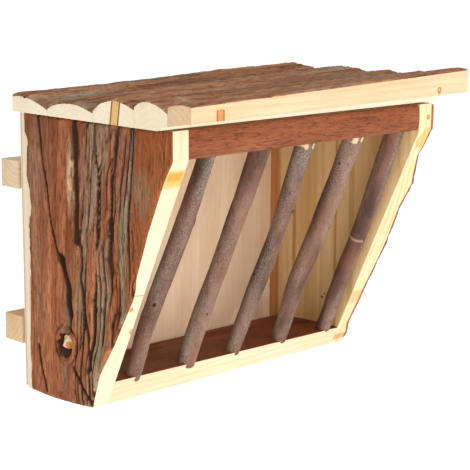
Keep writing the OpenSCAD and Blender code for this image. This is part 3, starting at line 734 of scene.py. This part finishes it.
# For each bar: its grey share, then at each station how far it is off its straight line and how thick it is
# (radius), in mm
BARS = (
    (0.55, (-1.4, -2.6, -2.2, -1.3, 0.2, 1.3, 2.0, 2.4), (4.2, 4.4, 4.6, 4.5, 4.7, 4.9, 4.7, 4.4)),
    (0.30, (-1.4, -1.5, -1.1, -0.3, 0.3, 0.6, 1.4, 1.4), (5.1, 5.1, 4.9, 4.8, 4.8, 4.9, 5.0, 5.3)),
    (0.40, (-1.9, -1.0, -0.5, 0.9, 1.2, 1.0, -0.1, -1.0), (4.2, 4.3, 4.8, 4.8, 4.3, 4.7, 4.7, 4.9)),
    (0.30, (0.1, -1.4, -2.1, -0.6, -0.1, 1.0, 1.3, 1.1), (4.4, 4.7, 5.3, 5.4, 5.2, 5.5, 5.2, 5.4)),
    (0.15, (0.2, -0.1, 0.1, 1.2, 1.1, 0.8, -0.7, -1.9), (4.3, 4.5, 4.8, 4.8, 4.9, 5.1, 5.0, 5.1)))
KNOTS = (  # bar, share of its length, angle, size
    (0, 0.34, 3.9, 2.4), (0, 0.68, 5.2, 1.8), (1, 0.71, 0.2, 1.9), (1, 0.25, 4.4, 1.5), (2, 0.66, 4.9, 2.2),
    (2, 0.36, 3.0, 2.0), (3, 0.55, 5.1, 2.0), (3, 0.83, 3.4, 1.6), (4, 0.45, 4.7, 2.1), (4, 0.75, 5.6, 1.7))

TOP_Y, TOP_Z = FRONT_Y + 8, RAIL_LOW
FOOT_Z = UNDERSIDE + PLANK_H - 1.2
slant_cos = math.cos(math.atan(SLANT))
FOOT_AT_Y = FOOT_Y - (PLANK_H - 1.2) * SLANT + 3.8 / slant_cos

ROD_LEAN = math.atan2(FOOT_AT_Y - TOP_Y, TOP_Z - FOOT_Z)


def twig_finish():
    """Thin bark of a twig: purplish brown, finely speckled with grey, darker round its knots."""
    f = Finish("twig bark", roughness=0.8, specular=0.25)
    turn = (-ROD_LEAN, 0, 0)
    speckle = f.noise(f.stretched((1.0, 1.0, 0.5), turn), 2600, 5, 0.8)
    wrinkle = f.noise(f.stretched((1.0, 1.0, 0.10), turn), 900, 5, 0.7)
    patch = f.noise(f.stretched((1.0, 1.0, 0.35), turn), 110, 4, 0.6)
    tone = f.sum("ADD", f.sum("MULTIPLY", f.map("tone"), 0.45), f.sum("MULTIPLY", patch, 0.55))
    colour = f.ramp(tone, (0.30, "35211a"), (0.45, "53352a"), (0.60, "6d483b"), (0.8, "8a6450"))
    colour = f.mix(f.sum("MULTIPLY", f.map("smooth"), 0.5), colour, "74452f")
    dust = f.sum("MULTIPLY", f.sum("ADD", f.map("grey"), 0.15), f.band(speckle, 0.43, 0.60))
    colour = f.mix(dust, colour, "938778")
    colour = f.mix(f.band(wrinkle, 0.46, 0.30, 0.0, 0.6), colour, "33211b")
    colour = f.mix(f.map("pale"), colour, "d6b48a")
    colour = f.mix(f.band(f.map("relief"), 0.25, 0.85), "2b1812", colour)
    f.relief(wrinkle, 0.35, 0.8)
    f.relief(speckle, 0.14, 0.8)
    return f.done(colour, f.band(speckle, 0.3, 0.7, 0.72, 0.9))


twig_bark = twig_finish()


def rod(number):
    grey_share, sideways, radii = BARS[number]
    low, high = reach("rod_%d" % (number + 1))
    x0 = (low[0] + high[0]) / 2
    seed = 80 + 7 * number
    foot = np.array([x0, FOOT_AT_Y, FOOT_Z])
    top = np.array([x0, TOP_Y, TOP_Z])
    axis = (top - foot) / np.linalg.norm(top - foot)
    side = np.array([1.0, 0, 0])
    out = np.cross(axis, side)
    start, stop = -2.2, np.linalg.norm(top - foot) + 6.5
    reach_up = np.linspace(start, stop, 90)

    def eased_line(values):
        """The values at the stations, joined by a line without corners."""
        line = np.interp(reach_up, STATIONS, values)
        return np.convolve(np.pad(line, 6, mode="edge"), np.hanning(13) / np.hanning(13).sum(), mode="valid")
    aside, girth = eased_line(sideways), eased_line(radii)
    run = samples(stop - start, 0.65, 0.2)
    around = np.linspace(0, 2 * np.pi, 49)
    s, angle = np.meshgrid(run, around, indexing="ij")
    u = start + s * (stop - start)
    radius = np.interp(u, reach_up, girth)
    arc = angle * 4.8
    ring = np.cos(angle), np.sin(angle)
    seam = smooth(np.minimum(angle, 2 * np.pi - angle) * 4.8, 0, 2.5)

    def bark_noise(size_u, size_v, which):
        """Noise over the bar's skin that closes where the angle starts again."""
        return (noise(u, arc, size_u, size_v, seed + which) * seam
                + noise(u, 0 * arc, size_u, size_v, seed + which) * (1 - seam))
    creases = bark_noise(14, 1.3, 2)
    fine = bark_noise(2.4, 1.5, 3)
    r = (radius - 0.10 + 0.16 * bark_noise(30, 14, 0) + 0.13 * bark_noise(9, 6, 1) + 0.07 * creases
         + 0.05 * fine)
    dark = np.zeros_like(u)
    for which, share, at, size in KNOTS:
        if which != number:
            continue
        turn = (angle - at + np.pi) % (2 * np.pi) - np.pi
        away = np.hypot((u - share * (stop - start)) / (size * 1.5), turn * 4.8 / size)
        r = r + 0.75 * np.exp(-away ** 2 * 1.6) - 0.8 * np.exp(-away ** 2 * 9)
        dark = np.maximum(dark, np.exp(-away ** 2 * 7))
    # The foot is whittled to a blunt point and both ends close
    tip = np.clip((u - start) / 2.4, 0, 1)
    r = r * np.sqrt(np.clip(1 - (1 - tip) ** 2.2, 0, 1))
    r = np.minimum(r, radius + 0.8)
    r[0], r[-1] = 0, 0
    centre = foot + axis * u[..., None] + side * np.interp(u, reach_up, aside)[..., None]
    points = centre + side * (r * ring[0])[..., None] + out * (r * ring[1])[..., None]
    points[:, -1] = points[:, 0]
    grey = np.clip(grey_share + 0.8 * bark_noise(34, 5, 4) + 0.3 * bark_noise(9, 3, 5), 0, 1)
    # Chips where the bark was pushed back at the top: none, a few or many
    chipped = (2.0, 0.55, -0.1, 0.0, 2.0)[number]
    near_top = smooth(u + 0.7 * bark_noise(5, 1.6, 10), stop - 7.9, stop - 7.4)
    torn = near_top * smooth(bark_noise(6, 2.2, 9), chipped, chipped + 0.3)
    if number == 4:
        torn = np.maximum(torn, 0.55 * np.exp(-((u - 62.5 - 0.8 * np.cos(angle)) / 0.55) ** 2))
    maps = {"relief": 1 - dark, "tone": 0.5 + 0.4 * bark_noise(30, 6, 6), "grey": grey,
            "smooth": smooth(bark_noise(24, 9, 8), 0.1, 0.6), "pale": torn}
    kind = np.zeros((len(run) - 1, len(around) - 1), int)
    name = "bar_%d_twig" % (number + 1)
    mesh = mesh_from_grids(name, [(points, maps, kind, False)], sharp=75)
    piece(name, mesh, (twig_bark,), "rack", "twig", "rod_%d" % (number + 1))


for number in range(5):
    rod(number)

# ---- Lid ----

# For each log: its rise to the right end, then its outline from the back to the front, as (y, height of the
# wood above the lid's underside)
SLATS = (
    (6.2, ((-5.0, 7.5), (-11.7, 8.0), (-20.1, 7.1), (-27.4, 5.1), (-34.3, 2.6))),
    (6.8, ((-34.45, 3.4), (-38.0, 5.2), (-43.7, 6.5), (-50.6, 7.3), (-58.5, 7.0),
           (-65.2, 5.4), (-70.1, 4.0))),
    (3.2, ((-70.25, 5.2), (-72.5, 7.2), (-75.7, 9.3), (-80.4, 10.6), (-86.0, 11.6), (-91.4, 10.8),
           (-95.9, 9.7), (-100.5, 8.1))),
    (2.6, ((-100.65, 9.3), (-102.5, 11.0), (-105.7, 12.3), (-110.1, 12.8), (-115.3, 11.8), (-120.4, 10.0),
           (-123.7, 8.0))))
SLAT_SKIN = (2.3, 2.3, 1.7, 1.8)
slat_bark_sets = [
    plain_bark(101, mean_skin=2.2, depth=1.5, widths=(7.5, 2.6), grey_share=0.15),
    plain_bark(113, mean_skin=2.2, depth=1.6, widths=(8.5, 2.8), grey_share=0.35),
    plain_bark(125, mean_skin=1.7, depth=1.3, widths=(7.0, 2.4), grey_share=0.15),
    plain_bark(137, mean_skin=1.8, depth=1.3, widths=(6.5, 2.4), grey_share=0.25)]


def slat_place(number):
    rise, profile = SLATS[number]
    back, front = profile[0][0], profile[-1][0]
    at, heights = zip(*reversed(profile))

    def place(a, b):
        x = LID_L + a * (LID_R - LID_L)
        y = front + b * (back - front)
        # The profile is softened a little, and is flatter towards the right end.
        top = sum(np.interp(y + d, at, heights) for d in (-1.0, 0.0, 1.0)) / 3
        top = top + (np.mean(heights) + 1.0 - top) * 0.45 * a
        top = LID_Z + top + rise * a + SLAT_SKIN[number]
        # The last log is eased along its lower front corner, under the front plank.
        corner = (2.4 + 2.2 * a) * smooth(-y, -front - 7.5, -front - 0.5) if number == 3 else 0
        inner = np.stack([x, y, LID_Z + corner + 0 * x], -1)
        outer = np.stack([x, y, top], -1)
        return inner, outer
    return place


def slat_face(number):
    def face(a, b, outer):
        x, y = outer[..., 0], outer[..., 1]
        maps = slat_bark_sets[number](x, y)
        if number == 3:
            patch = spot(x, y, (-87, -110), 6, 10) * smooth(layers(x, y, 6, 4, 149, 2), -0.4, 0.2)
            maps["grey"] = np.maximum(maps["grey"], patch)
            maps["pale"] = np.maximum(maps["pale"], 0.9 * patch)
        return maps
    return face


for number in range(4):
    back, front = SLATS[number][1][0][0], SLATS[number][1][-1][0]
    middle = (back + front) / 2
    # The third log's left end shows a spike knot: a tan band between two dark lines.
    end = (LID_L, -86.5, LID_Z + 6)
    tilt = (0, 1.0, 0.16)
    at = -86.6 + 0.16 * (LID_Z + 6)
    seams = ((tilt, at, 2.6, "f2cc98", end, 12), (tilt, at + 2.8, 0.45, "94683f", end, 12),
             (tilt, at - 2.8, 0.45, "94683f", end, 12)) if number == 2 else ()
    cut = sawn_finish("log %d, sawn" % (number + 1), "X", (middle + (3, -4, 2, -2)[number], LID_Z - 9),
                      tint=("e0d6c1", "d9caae", "c8af88"), spacing=2.4 + 0.3 * number, rings=0.2, seams=seams)
    board("lid_log_%d" % (number + 1), "lid_slat_%d" % (number + 1), "lid", (lid_bark, cut),
          slat_place(number), slat_face(number), LID_R - LID_L, back - front, (1, 0, 0), (0, 1, 0),
          step=0.72, end_gap=0.5, edge_gap=0.4)

plank_y0, plank_y1 = reach("lid_front_plank")[0][1], reach("lid_front_plank")[1][1]


def front_plank_place(a, b):
    x = LID_L + a * (LID_R - LID_L)
    y = plank_y0 + b * (plank_y1 - plank_y0)
    low = LID_Z + 2.6 + 2.4 * (1 - b) + 1.6 * a
    top = LID_Z + crowned(2.6 + 2.4 + 8.2, 2.6 + 8.2 + 1.2, 1.2, b) + 6 * a
    return np.stack([x, y, low], -1), np.stack([x, y, top], -1)


front_plank_maps = plain_bark(161, mean_skin=0.9, depth=0.5, widths=(6, 2.4), grey_share=0.1)


def front_plank_face(a, b, outer):
    return front_plank_maps(outer[..., 0], outer[..., 1])


front_plank_cut = sawn_finish(
    "front plank, sawn", "X", (-110, LID_Z - 25), spacing=3.1, tint=("d2b795", "c8a983", "b08459"), rings=0.3,
    knots=(((72, plank_y0, LID_Z + 9.2), 1.7),),
    seams=(((1, 0, 0), -86.1, 2.1, "edc391", (-86.1, plank_y0, LID_Z + 6.2), 4.6),
           ((1, 0, 0), -88.2, 0.35, "bb8c62", (-86.1, plank_y0, LID_Z + 6.2), 4.8),
           ((1, 0, 0), -84.0, 0.35, "bb8c62", (-86.1, plank_y0, LID_Z + 6.2), 4.8),
           ((1, 0, 0), 71.6, 0.3, "cf9f74", (71.6, plank_y0, LID_Z + 7.5), 2.8)))
board("lid_front_plank_board", "lid_front_plank", "lid", (lid_bark, front_plank_cut), front_plank_place,
      front_plank_face, LID_R - LID_L, 15.9, (1, 0, 0), (0, 1, 0), step=0.7, end_gap=0.3, edge_gap=0.25,
      slot="cut_wood")


# ---- Panel, battens and cleats ----

def eased(name, node, body, look, slot, ease=0.35, steps=2):
    """A copy of a CAD node with its sharp edges eased, as after sanding or tumbling."""
    work = bmesh.new()
    work.from_mesh(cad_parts[node].data)
    bmesh.ops.remove_doubles(work, verts=work.verts, dist=1e-6)
    bmesh.ops.dissolve_limit(work, angle_limit=math.radians(1), verts=work.verts, edges=work.edges)
    edges = [e for e in work.edges if len(e.link_faces) == 2 and e.calc_face_angle(0) > math.radians(30)]
    bmesh.ops.bevel(work, geom=edges, offset=ease * MM, segments=steps, profile=0.5, affect="EDGES",
                    clamp_overlap=True)
    bmesh.ops.triangulate(work, faces=[f for f in work.faces if len(f.verts) > 4])
    mesh = bpy.data.meshes.new(name)
    work.to_mesh(mesh)
    work.free()
    mesh.polygons.foreach_set("use_smooth", np.ones(len(mesh.polygons), bool))
    mesh.set_sharp_from_angle(angle=math.radians(35))
    return piece(name, mesh, (look,), body, slot, node)


def plywood_finish():
    """Pinkish tan veneer with upright grain, and the plies of the sheet in its edges."""
    f = Finish("plywood", roughness=0.6, specular=0.3)
    fibre = f.noise(f.stretched((1.0, 1.0, 0.025)), 1500, 4, 0.65, 0.1)
    streaks = f.noise(f.stretched((1.0, 1.0, 0.10)), 60, 5, 0.5, 0.8)
    clouds = f.noise(f.coords, 22, 3, 0.5)
    face = f.ramp(f.sum("ADD", f.sum("MULTIPLY", streaks, 0.6), f.sum("MULTIPLY", clouds, 0.4)),
                  (0.32, "d6b08c"), (0.50, "e3c3a1"), (0.68, "ecd4b6"))
    face = f.mix(f.band(fibre, 0.4, 0.75, 0.0, 0.35), face, "c49c7a")
    depth = f.nodes.new("ShaderNodeSeparateXYZ")
    f.links.new(f.coords, depth.inputs[0])
    layer = f.sum("DIVIDE", depth.outputs["Y"], -1.0 * MM)
    wobble = f.sum("MULTIPLY", f.sum("SUBTRACT", f.noise(f.coords, 90, 2), 0.5), 0.35)
    layer = f.sum("ADD", layer, wobble)
    stripe = f.sum("PINGPONG", layer, 1.0)
    plies = f.ramp(stripe, (0.25, "e2d6c4"), (0.5, "d0c0ab"), (0.8, "bba68b"))
    plies = f.mix(f.band(f.noise(f.coords, 1500, 3), 0.4, 0.7, 0, 0.4), plies, "b49a80")
    inside = f.sum("MULTIPLY", f.band(depth.outputs["Y"], -4.85 * MM, -4.6 * MM),
                   f.band(depth.outputs["Y"], -0.15 * MM, -0.4 * MM))
    f.relief(fibre, 0.08, 0.6)
    f.relief(f.noise(f.coords, 2500, 2), 0.05, 0.5)
    return f.done(f.mix(inside, face, plies), 0.6)


plywood = plywood_finish()
upper_look = sawn_finish("upper batten wood", "X", (2, 55), spacing=2.6, tint=("d2bea3", "c9b089", "b08d5e"))
lower_look = sawn_finish("lower batten wood", "X", (22, -30), spacing=2.4,
                         tint=("d5ba9a", "c9a87c", "ad8251"))
cleat_look = sawn_finish("cleat wood", "Y", (-60, LID_Z - 20), spacing=2.2)
eased("back_panel_plywood", "back_panel", "rack", plywood, "plywood", 0.25, 1)
eased("upper_batten_wood", "upper_batten", "upper_clamp", upper_look, "cut_wood", 0.6, 3)
eased("lower_batten_wood", "lower_batten", "lower_clamp", lower_look, "cut_wood", 0.6, 3)
eased("lid_cleat_left_wood", "lid_cleat_left", "lid", cleat_look, "cut_wood", 0.5, 2)
eased("lid_cleat_right_wood", "lid_cleat_right", "lid", cleat_look, "cut_wood", 0.5, 2)


# ---- Hardware ----

def zinc_finish(name, tint=("b9bcbd", "d4d6d4", "e6e2d2")):
    """Bright zinc plating: faintly mottled, with a yellow bloom and fine scratches."""
    f = Finish(name, roughness=0.35, metallic=1.0, specular=0.5)
    mottle = f.noise(f.coords, 450, 4, 0.6)
    bloom = f.noise(f.coords, 90, 3, 0.5, 0.5)
    scratch = f.noise(f.stretched((1.0, 0.08, 1.0)), 2600, 2, 0.6)
    colour = f.ramp(f.sum("ADD", f.sum("MULTIPLY", mottle, 0.5), f.sum("MULTIPLY", bloom, 0.5)),
                    (0.35, tint[0]), (0.55, tint[1]), (0.72, tint[2]))
    f.relief(mottle, 0.03, 0.5)
    f.relief(scratch, 0.02, 0.5)
    return f.done(colour, f.band(mottle, 0.3, 0.7, 0.26, 0.48))


zinc = zinc_finish("zinc plate")


class Tree:
    """A Geometry Nodes tree with named inputs, ending in Realize Instances and Set Material."""

    def __init__(self, name, *numbers):
        self.tree = bpy.data.node_groups.new(name, "GeometryNodeTree")
        face = self.tree.interface
        face.new_socket("Places", in_out="INPUT", socket_type="NodeSocketGeometry")
        for word in numbers:
            face.new_socket(word, in_out="INPUT", socket_type="NodeSocketFloat")
        face.new_socket("Geometry", in_out="OUTPUT", socket_type="NodeSocketGeometry")
        self.given = self.tree.nodes.new("NodeGroupInput").outputs

    def add(self, kind, settings=None, **values):
        """A node; its inputs are given by name, with _ for a space."""
        node = self.tree.nodes.new(kind)
        for word, value in (settings or {}).items():
            setattr(node, word, value)
        for word, value in values.items():
            self.feed(node.inputs[word.replace("_", " ")], value)
        return node

    def feed(self, socket, value):
        if isinstance(value, bpy.types.NodeSocket):
            self.tree.links.new(value, socket)
        else:
            socket.default_value = value

    def sum(self, kind, a, b=0.0):
        node = self.tree.nodes.new("ShaderNodeMath")
        node.operation = kind
        self.feed(node.inputs[0], a)
        self.feed(node.inputs[1], b)
        return node.outputs[0]

    def along(self, z):
        return self.add("ShaderNodeCombineXYZ", Z=z).outputs[0]

    def moved(self, shape, z):
        return self.add("GeometryNodeTransform", Geometry=shape, Translation=self.along(z)).outputs[0]

    def placed(self, shapes, look):
        """Puts the joined shapes on every place, turned to its facing and spun by a fixed seed, and ends the
        tree."""
        join = self.tree.nodes.new("GeometryNodeJoinGeometry")
        for shape in shapes:
            self.tree.links.new(shape, join.inputs[0])
        facing = self.add("GeometryNodeInputNamedAttribute", {"data_type": "FLOAT_VECTOR"}, Name="facing")
        turned = self.add("FunctionNodeAlignRotationToVector", {"axis": "Z"}, Vector=facing.outputs[0])
        spin = self.add("FunctionNodeRandomValue", {"data_type": "FLOAT"}, Seed=7)
        spin.inputs[3].default_value = 6.28
        spun = self.add("FunctionNodeAxisAngleToRotation", Angle=spin.outputs[1])
        both = self.add("FunctionNodeRotateRotation", {"rotation_space": "LOCAL"}, Rotation=turned.outputs[0],
                        Rotate_By=spun.outputs[0])
        stand = self.add("GeometryNodeInstanceOnPoints", Points=self.given["Places"],
                         Instance=join.outputs[0], Rotation=both.outputs[0])
        real = self.add("GeometryNodeRealizeInstances", Geometry=stand.outputs[0])
        looks = self.add("GeometryNodeSetMaterial", Geometry=real.outputs[0], Material=look)
        end = self.tree.nodes.new("NodeGroupOutput")
        self.tree.links.new(looks.outputs[0], end.inputs[0])
        return self.tree


def fastener_tree(name, look, threaded, crossed):
    """Nail, pin, screw or bolt with its head's top at the place and its shank below."""
    t = Tree(name, "Head Radius", "Head Height", "Shank Radius", "Length", "Turns")
    head_r, head_h, shank_r = t.given["Head Radius"], t.given["Head Height"], t.given["Shank Radius"]
    below = t.sum("SUBTRACT", t.given["Length"], head_h)
    low_r = t.sum("MULTIPLY", head_r, 0.55) if crossed else t.sum("MULTIPLY", head_r, 0.94)
    head = t.add("GeometryNodeMeshCone", Vertices=40, Radius_Top=head_r, Radius_Bottom=low_r, Depth=head_h)
    head = t.moved(head.outputs[0], t.sum("MULTIPLY", head_h, -1))
    if crossed:
        wide, slim = t.sum("MULTIPLY", head_r, 1.15), t.sum("MULTIPLY", head_r, 0.22)
        deep = t.sum("MULTIPLY", head_h, 0.7)
        for size in ((wide, slim), (slim, wide)):
            box = t.add("ShaderNodeCombineXYZ", X=size[0], Y=size[1], Z=deep)
            bar = t.add("GeometryNodeMeshCube", Size=box.outputs[0])
            carve = t.tree.nodes.new("GeometryNodeMeshBoolean")
            carve.operation = "DIFFERENCE"
            t.tree.links.new(head, carve.inputs[0])
            t.tree.links.new(bar.outputs[0], carve.inputs[1])
            head = carve.outputs[0]
    core_r = t.sum("MULTIPLY", shank_r, 0.84) if threaded else shank_r
    point = t.sum("MULTIPLY", shank_r, 1.6 if not threaded or crossed else 0.4)
    blunt = t.sum("MULTIPLY", core_r, 0.12 if not threaded or crossed else 0.8)
    straight = t.sum("SUBTRACT", below, point)
    down = t.sum("MULTIPLY", t.sum("ADD", head_h, t.sum("MULTIPLY", straight, 0.5)), -1)
    shank = t.add("GeometryNodeMeshCylinder", Vertices=28, Radius=core_r, Depth=straight)
    tip = t.add("GeometryNodeMeshCone", Vertices=28, Radius_Top=core_r, Radius_Bottom=blunt, Depth=point)
    end = t.sum("MULTIPLY", t.given["Length"], -1)
    parts = [head, t.moved(shank.outputs[0], down), t.moved(tip.outputs[0], end)]
    if threaded:
        rise = t.sum("MULTIPLY", straight, 0.86)
        coil = t.add("GeometryNodeCurveSpiral", Resolution=20, Rotations=t.given["Turns"],
                     Start_Radius=core_r, End_Radius=core_r, Height=rise)
        ridge_r = t.sum("MULTIPLY", shank_r, 0.155)
        edge = t.add("GeometryNodeCurvePrimitiveCircle", Resolution=4, Radius=ridge_r)
        ridge = t.add("GeometryNodeCurveToMesh", Curve=coil.outputs[0], Profile_Curve=edge.outputs[0],
                      Fill_Caps=True)
        parts.append(t.moved(ridge.outputs[0], t.sum("ADD", end, point)))
    return t.placed(parts, look)


def ring_tree(name, look):
    """A flat washer with rounded edges, lying on its place."""
    t = Tree(name, "Middle Radius", "Width", "Thickness")
    loop = t.add("GeometryNodeCurvePrimitiveCircle", Resolution=56, Radius=t.given["Middle Radius"])
    edge = t.add("GeometryNodeCurvePrimitiveQuadrilateral", Width=t.given["Width"],
                 Height=t.given["Thickness"])
    rounding = t.sum("MULTIPLY", t.given["Thickness"], 0.22)
    soft = t.add("GeometryNodeFilletCurve", Curve=edge.outputs[0], Radius=rounding)
    ring = t.add("GeometryNodeCurveToMesh", Curve=loop.outputs[0], Profile_Curve=soft.outputs[0])
    return t.placed([ring.outputs[0]], look)


def grown(name, places, facings, tree, numbers, body, slot, node):
    """Runs a tree over its places and keeps the result as one plain mesh."""
    seeds = bpy.data.meshes.new(name + "_places")
    seeds.from_pydata((np.array(places) * MM).tolist(), [], [])
    facing = seeds.attributes.new("facing", "FLOAT_VECTOR", "POINT")
    facing.data.foreach_set("vector", np.array(facings, np.float32).ravel())
    holder = bpy.data.objects.new(name + "_places", seeds)
    scene.collection.objects.link(holder)
    nodes = holder.modifiers.new("grow", "NODES")
    nodes.node_group = tree
    for item in tree.interface.items_tree:
        if item.in_out == "INPUT" and item.name in numbers:
            nodes[item.identifier] = float(numbers[item.name])
    mesh = bpy.data.meshes.new_from_object(holder.evaluated_get(bpy.context.evaluated_depsgraph_get()))
    holder.modifiers.remove(nodes)
    bpy.data.objects.remove(holder)
    mesh.name = name
    mesh.polygons.foreach_set("use_smooth", np.ones(len(mesh.polygons), bool))
    mesh.set_sharp_from_angle(angle=math.radians(35))
    mesh.materials.clear()
    return piece(name, mesh, (zinc,), body, slot, node)


def solids_of(node, axis):
    """For each solid of a CAD node: its middle, and its (place along the axis, radius) steps."""
    work = bmesh.new()
    work.from_mesh(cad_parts[node].data)
    bmesh.ops.remove_doubles(work, verts=work.verts, dist=1e-6)
    left, found = set(work.verts), []
    while left:
        group, front = set(), [next(v for v in work.verts if v in left)]
        while front:
            v = front.pop()
            if v in left:
                left.discard(v)
                group.add(v)
                front.extend(e.other_vert(v) for e in v.link_edges)
        points = np.array(sorted(tuple(v.co / MM) for v in group))
        middle = (points.min(0) + points.max(0)) / 2
        across = [k for k in range(3) if k != axis]
        radius = np.linalg.norm((points - middle)[:, across], axis=1)
        steps = sorted({(round(float(t), 2), round(float(r), 2)) for t, r in zip(points[:, axis], radius)})
        found.append((middle, steps))
    work.free()
    return found


def fasteners(node, body, axis, threaded, crossed):
    places, facings = [], []
    for middle, steps in solids_of(node, axis):
        ends = steps[0][0], steps[-1][0]
        low_r = max(r for t, r in steps if t < ends[0] + 0.05)
        high_r = max(r for t, r in steps if t > ends[1] - 0.05)
        way = 1 if high_r >= low_r else -1
        place = middle.copy()
        place[axis] = ends[1] if way > 0 else ends[0]
        places.append(place)
        facings.append([way if k == axis else 0 for k in range(3)])
        head_r = max(high_r, low_r)
        shank_r = min(r for t, r in steps if r > 0.3 * head_r)
        wide = [abs(t - place[axis]) for t, r in steps if r > 0.98 * head_r]
        length = ends[1] - ends[0]
    if shank_r > 0.95 * head_r:
        head_r, head_h = shank_r, length * 0.1
    else:
        head_h = max(max(wide), 0.9 if crossed else 0.4)
        if head_h > length / 2:
            head_h = 0.8
    numbers = {"Head Radius": head_r * MM, "Head Height": head_h * MM, "Shank Radius": shank_r * MM * 0.995,
               "Length": length * MM, "Turns": (length - head_h) / (shank_r * 0.62)}
    tree = fastener_tree(node.replace("_", " "), zinc, threaded, crossed)
    grown(node + "_steel", places, facings, tree, numbers, body, "zinc_steel", node)


def rings_from(where):
    node = "%s_washers" % where
    solids = solids_of(node, 1)
    places = [middle for middle, steps in solids]
    steps = solids[0][1]
    inner, outer = min(r for t, r in steps), max(r for t, r in steps)
    numbers = {"Middle Radius": (inner + outer) / 2 * MM, "Width": (outer - inner) * MM,
               "Thickness": (steps[-1][0] - steps[0][0]) * MM}
    tree = ring_tree(where + " washers", zinc)
    grown("%s_washer_pair" % where, places, [[0, 1, 0]] * len(places), tree, numbers, "%s_clamp" % where,
          "zinc_steel", node)


for hand in ("left", "right"):
    eased("hinge_%s_fixed_plate" % hand, "hinge_%s_fixed_leaf" % hand, "rack", zinc, "zinc_steel", 0.12, 1)
    eased("hinge_%s_lid_plate" % hand, "hinge_%s_lid_leaf" % hand, "lid", zinc, "zinc_steel", 0.12, 1)
    eased("hinge_%s_rivet_pin" % hand, "hinge_%s_pin" % hand, "rack", zinc, "zinc_steel", 0.25, 2)
for place_name in ("upper", "lower"):
    rings_from(place_name)
for number in range(1, 5):
    eased("wing_nut_%d_cast" % number, "wing_nut_%d" % number, "nut_%d" % number, zinc, "zinc_steel", 0.4, 3)
for word, body, axis, threaded, crossed in (
        ("cleat_nails", "lid", 2, False, False), ("panel_nails", "rack", 1, False, False),
        ("side_pins", "rack", 0, False, False), ("fixed_leaf_screws", "rack", 1, True, True),
        ("lid_leaf_screws", "lid", 2, True, True), ("clamp_bolts", "rack", 1, True, False)):
    fasteners(word, body, axis, threaded, crossed)


# ---- Stage ----

def lamp(name, place, aim, size, power):
    data = bpy.data.lights.new(name, "AREA")
    data.shape = "RECTANGLE"
    data.size, data.size_y = size
    data.energy = power
    made = bpy.data.objects.new(name, data)
    made.location = place
    made.rotation_euler = (Vector(aim) - Vector(place)).to_track_quat("-Z", "Y").to_euler()
    scene.collection.objects.link(made)


world = bpy.data.worlds.new("studio")
scene.world = world
world.use_nodes = True
world.node_tree.nodes["Background"].inputs["Color"].default_value = (1, 1, 1, 1)
world.node_tree.nodes["Background"].inputs["Strength"].default_value = 0.66
lamp("key", (0.42, -1.15, 0.30), (0, -0.06, 0), (0.9, 0.9), 7)
lamp("low front", (-0.45, -1.1, 0.05), (0.05, -0.06, 0), (0.7, 0.6), 5)
lamp("left fill", (-1.1, -0.4, 0.3), (0, -0.06, 0.02), (0.7, 0.7), 2.4)
lamp("top", (-0.1, -0.1, 1.2), (0, -0.06, 0), (0.9, 0.9), 2.5)

FLOOR_HALF, FLOOR_Z = 30, -0.30  # in metres
floor_mesh = bpy.data.meshes.new("studio floor")
corners = [(x * FLOOR_HALF, y * FLOOR_HALF, FLOOR_Z) for x, y in ((-1, -1), (1, -1), (1, 1), (-1, 1))]
floor_mesh.from_pydata(corners, [], [(0, 1, 2, 3)])
floor = bpy.data.objects.new("studio_floor", floor_mesh)
scene.collection.objects.link(floor)
floor_look = Finish("studio paper", roughness=0.9, specular=0.1)
floor_look.shader.inputs["Emission Color"].default_value = (1, 1, 1, 1)
floor_look.shader.inputs["Emission Strength"].default_value = 0.42
floor_mesh.materials.append(floor_look.done(floor_look.ramp(
    floor_look.noise(floor_look.coords, 3, 2), (0.0, "fbfbfa"), (1.0, "ffffff"))))

camera_data = bpy.data.cameras.new("camera")
camera_data.lens = 110.72
camera_data.sensor_width = 36
camera_data.clip_start, camera_data.clip_end = 0.05, 60
camera = bpy.data.objects.new("camera", camera_data)
right = Vector((0.71847, -0.69554, 0.00491))
up = Vector((0.13127, 0.14253, 0.98105))
ahead = Vector((0.68305, 0.70421, -0.19371))
turn = Matrix((right, up, -ahead)).transposed().to_4x4()
camera.matrix_world = Matrix.Translation((-0.53249, -0.60945, 0.15678)) @ turn
scene.collection.objects.link(camera)
scene.camera = camera
scene.view_settings.view_transform = "Standard"
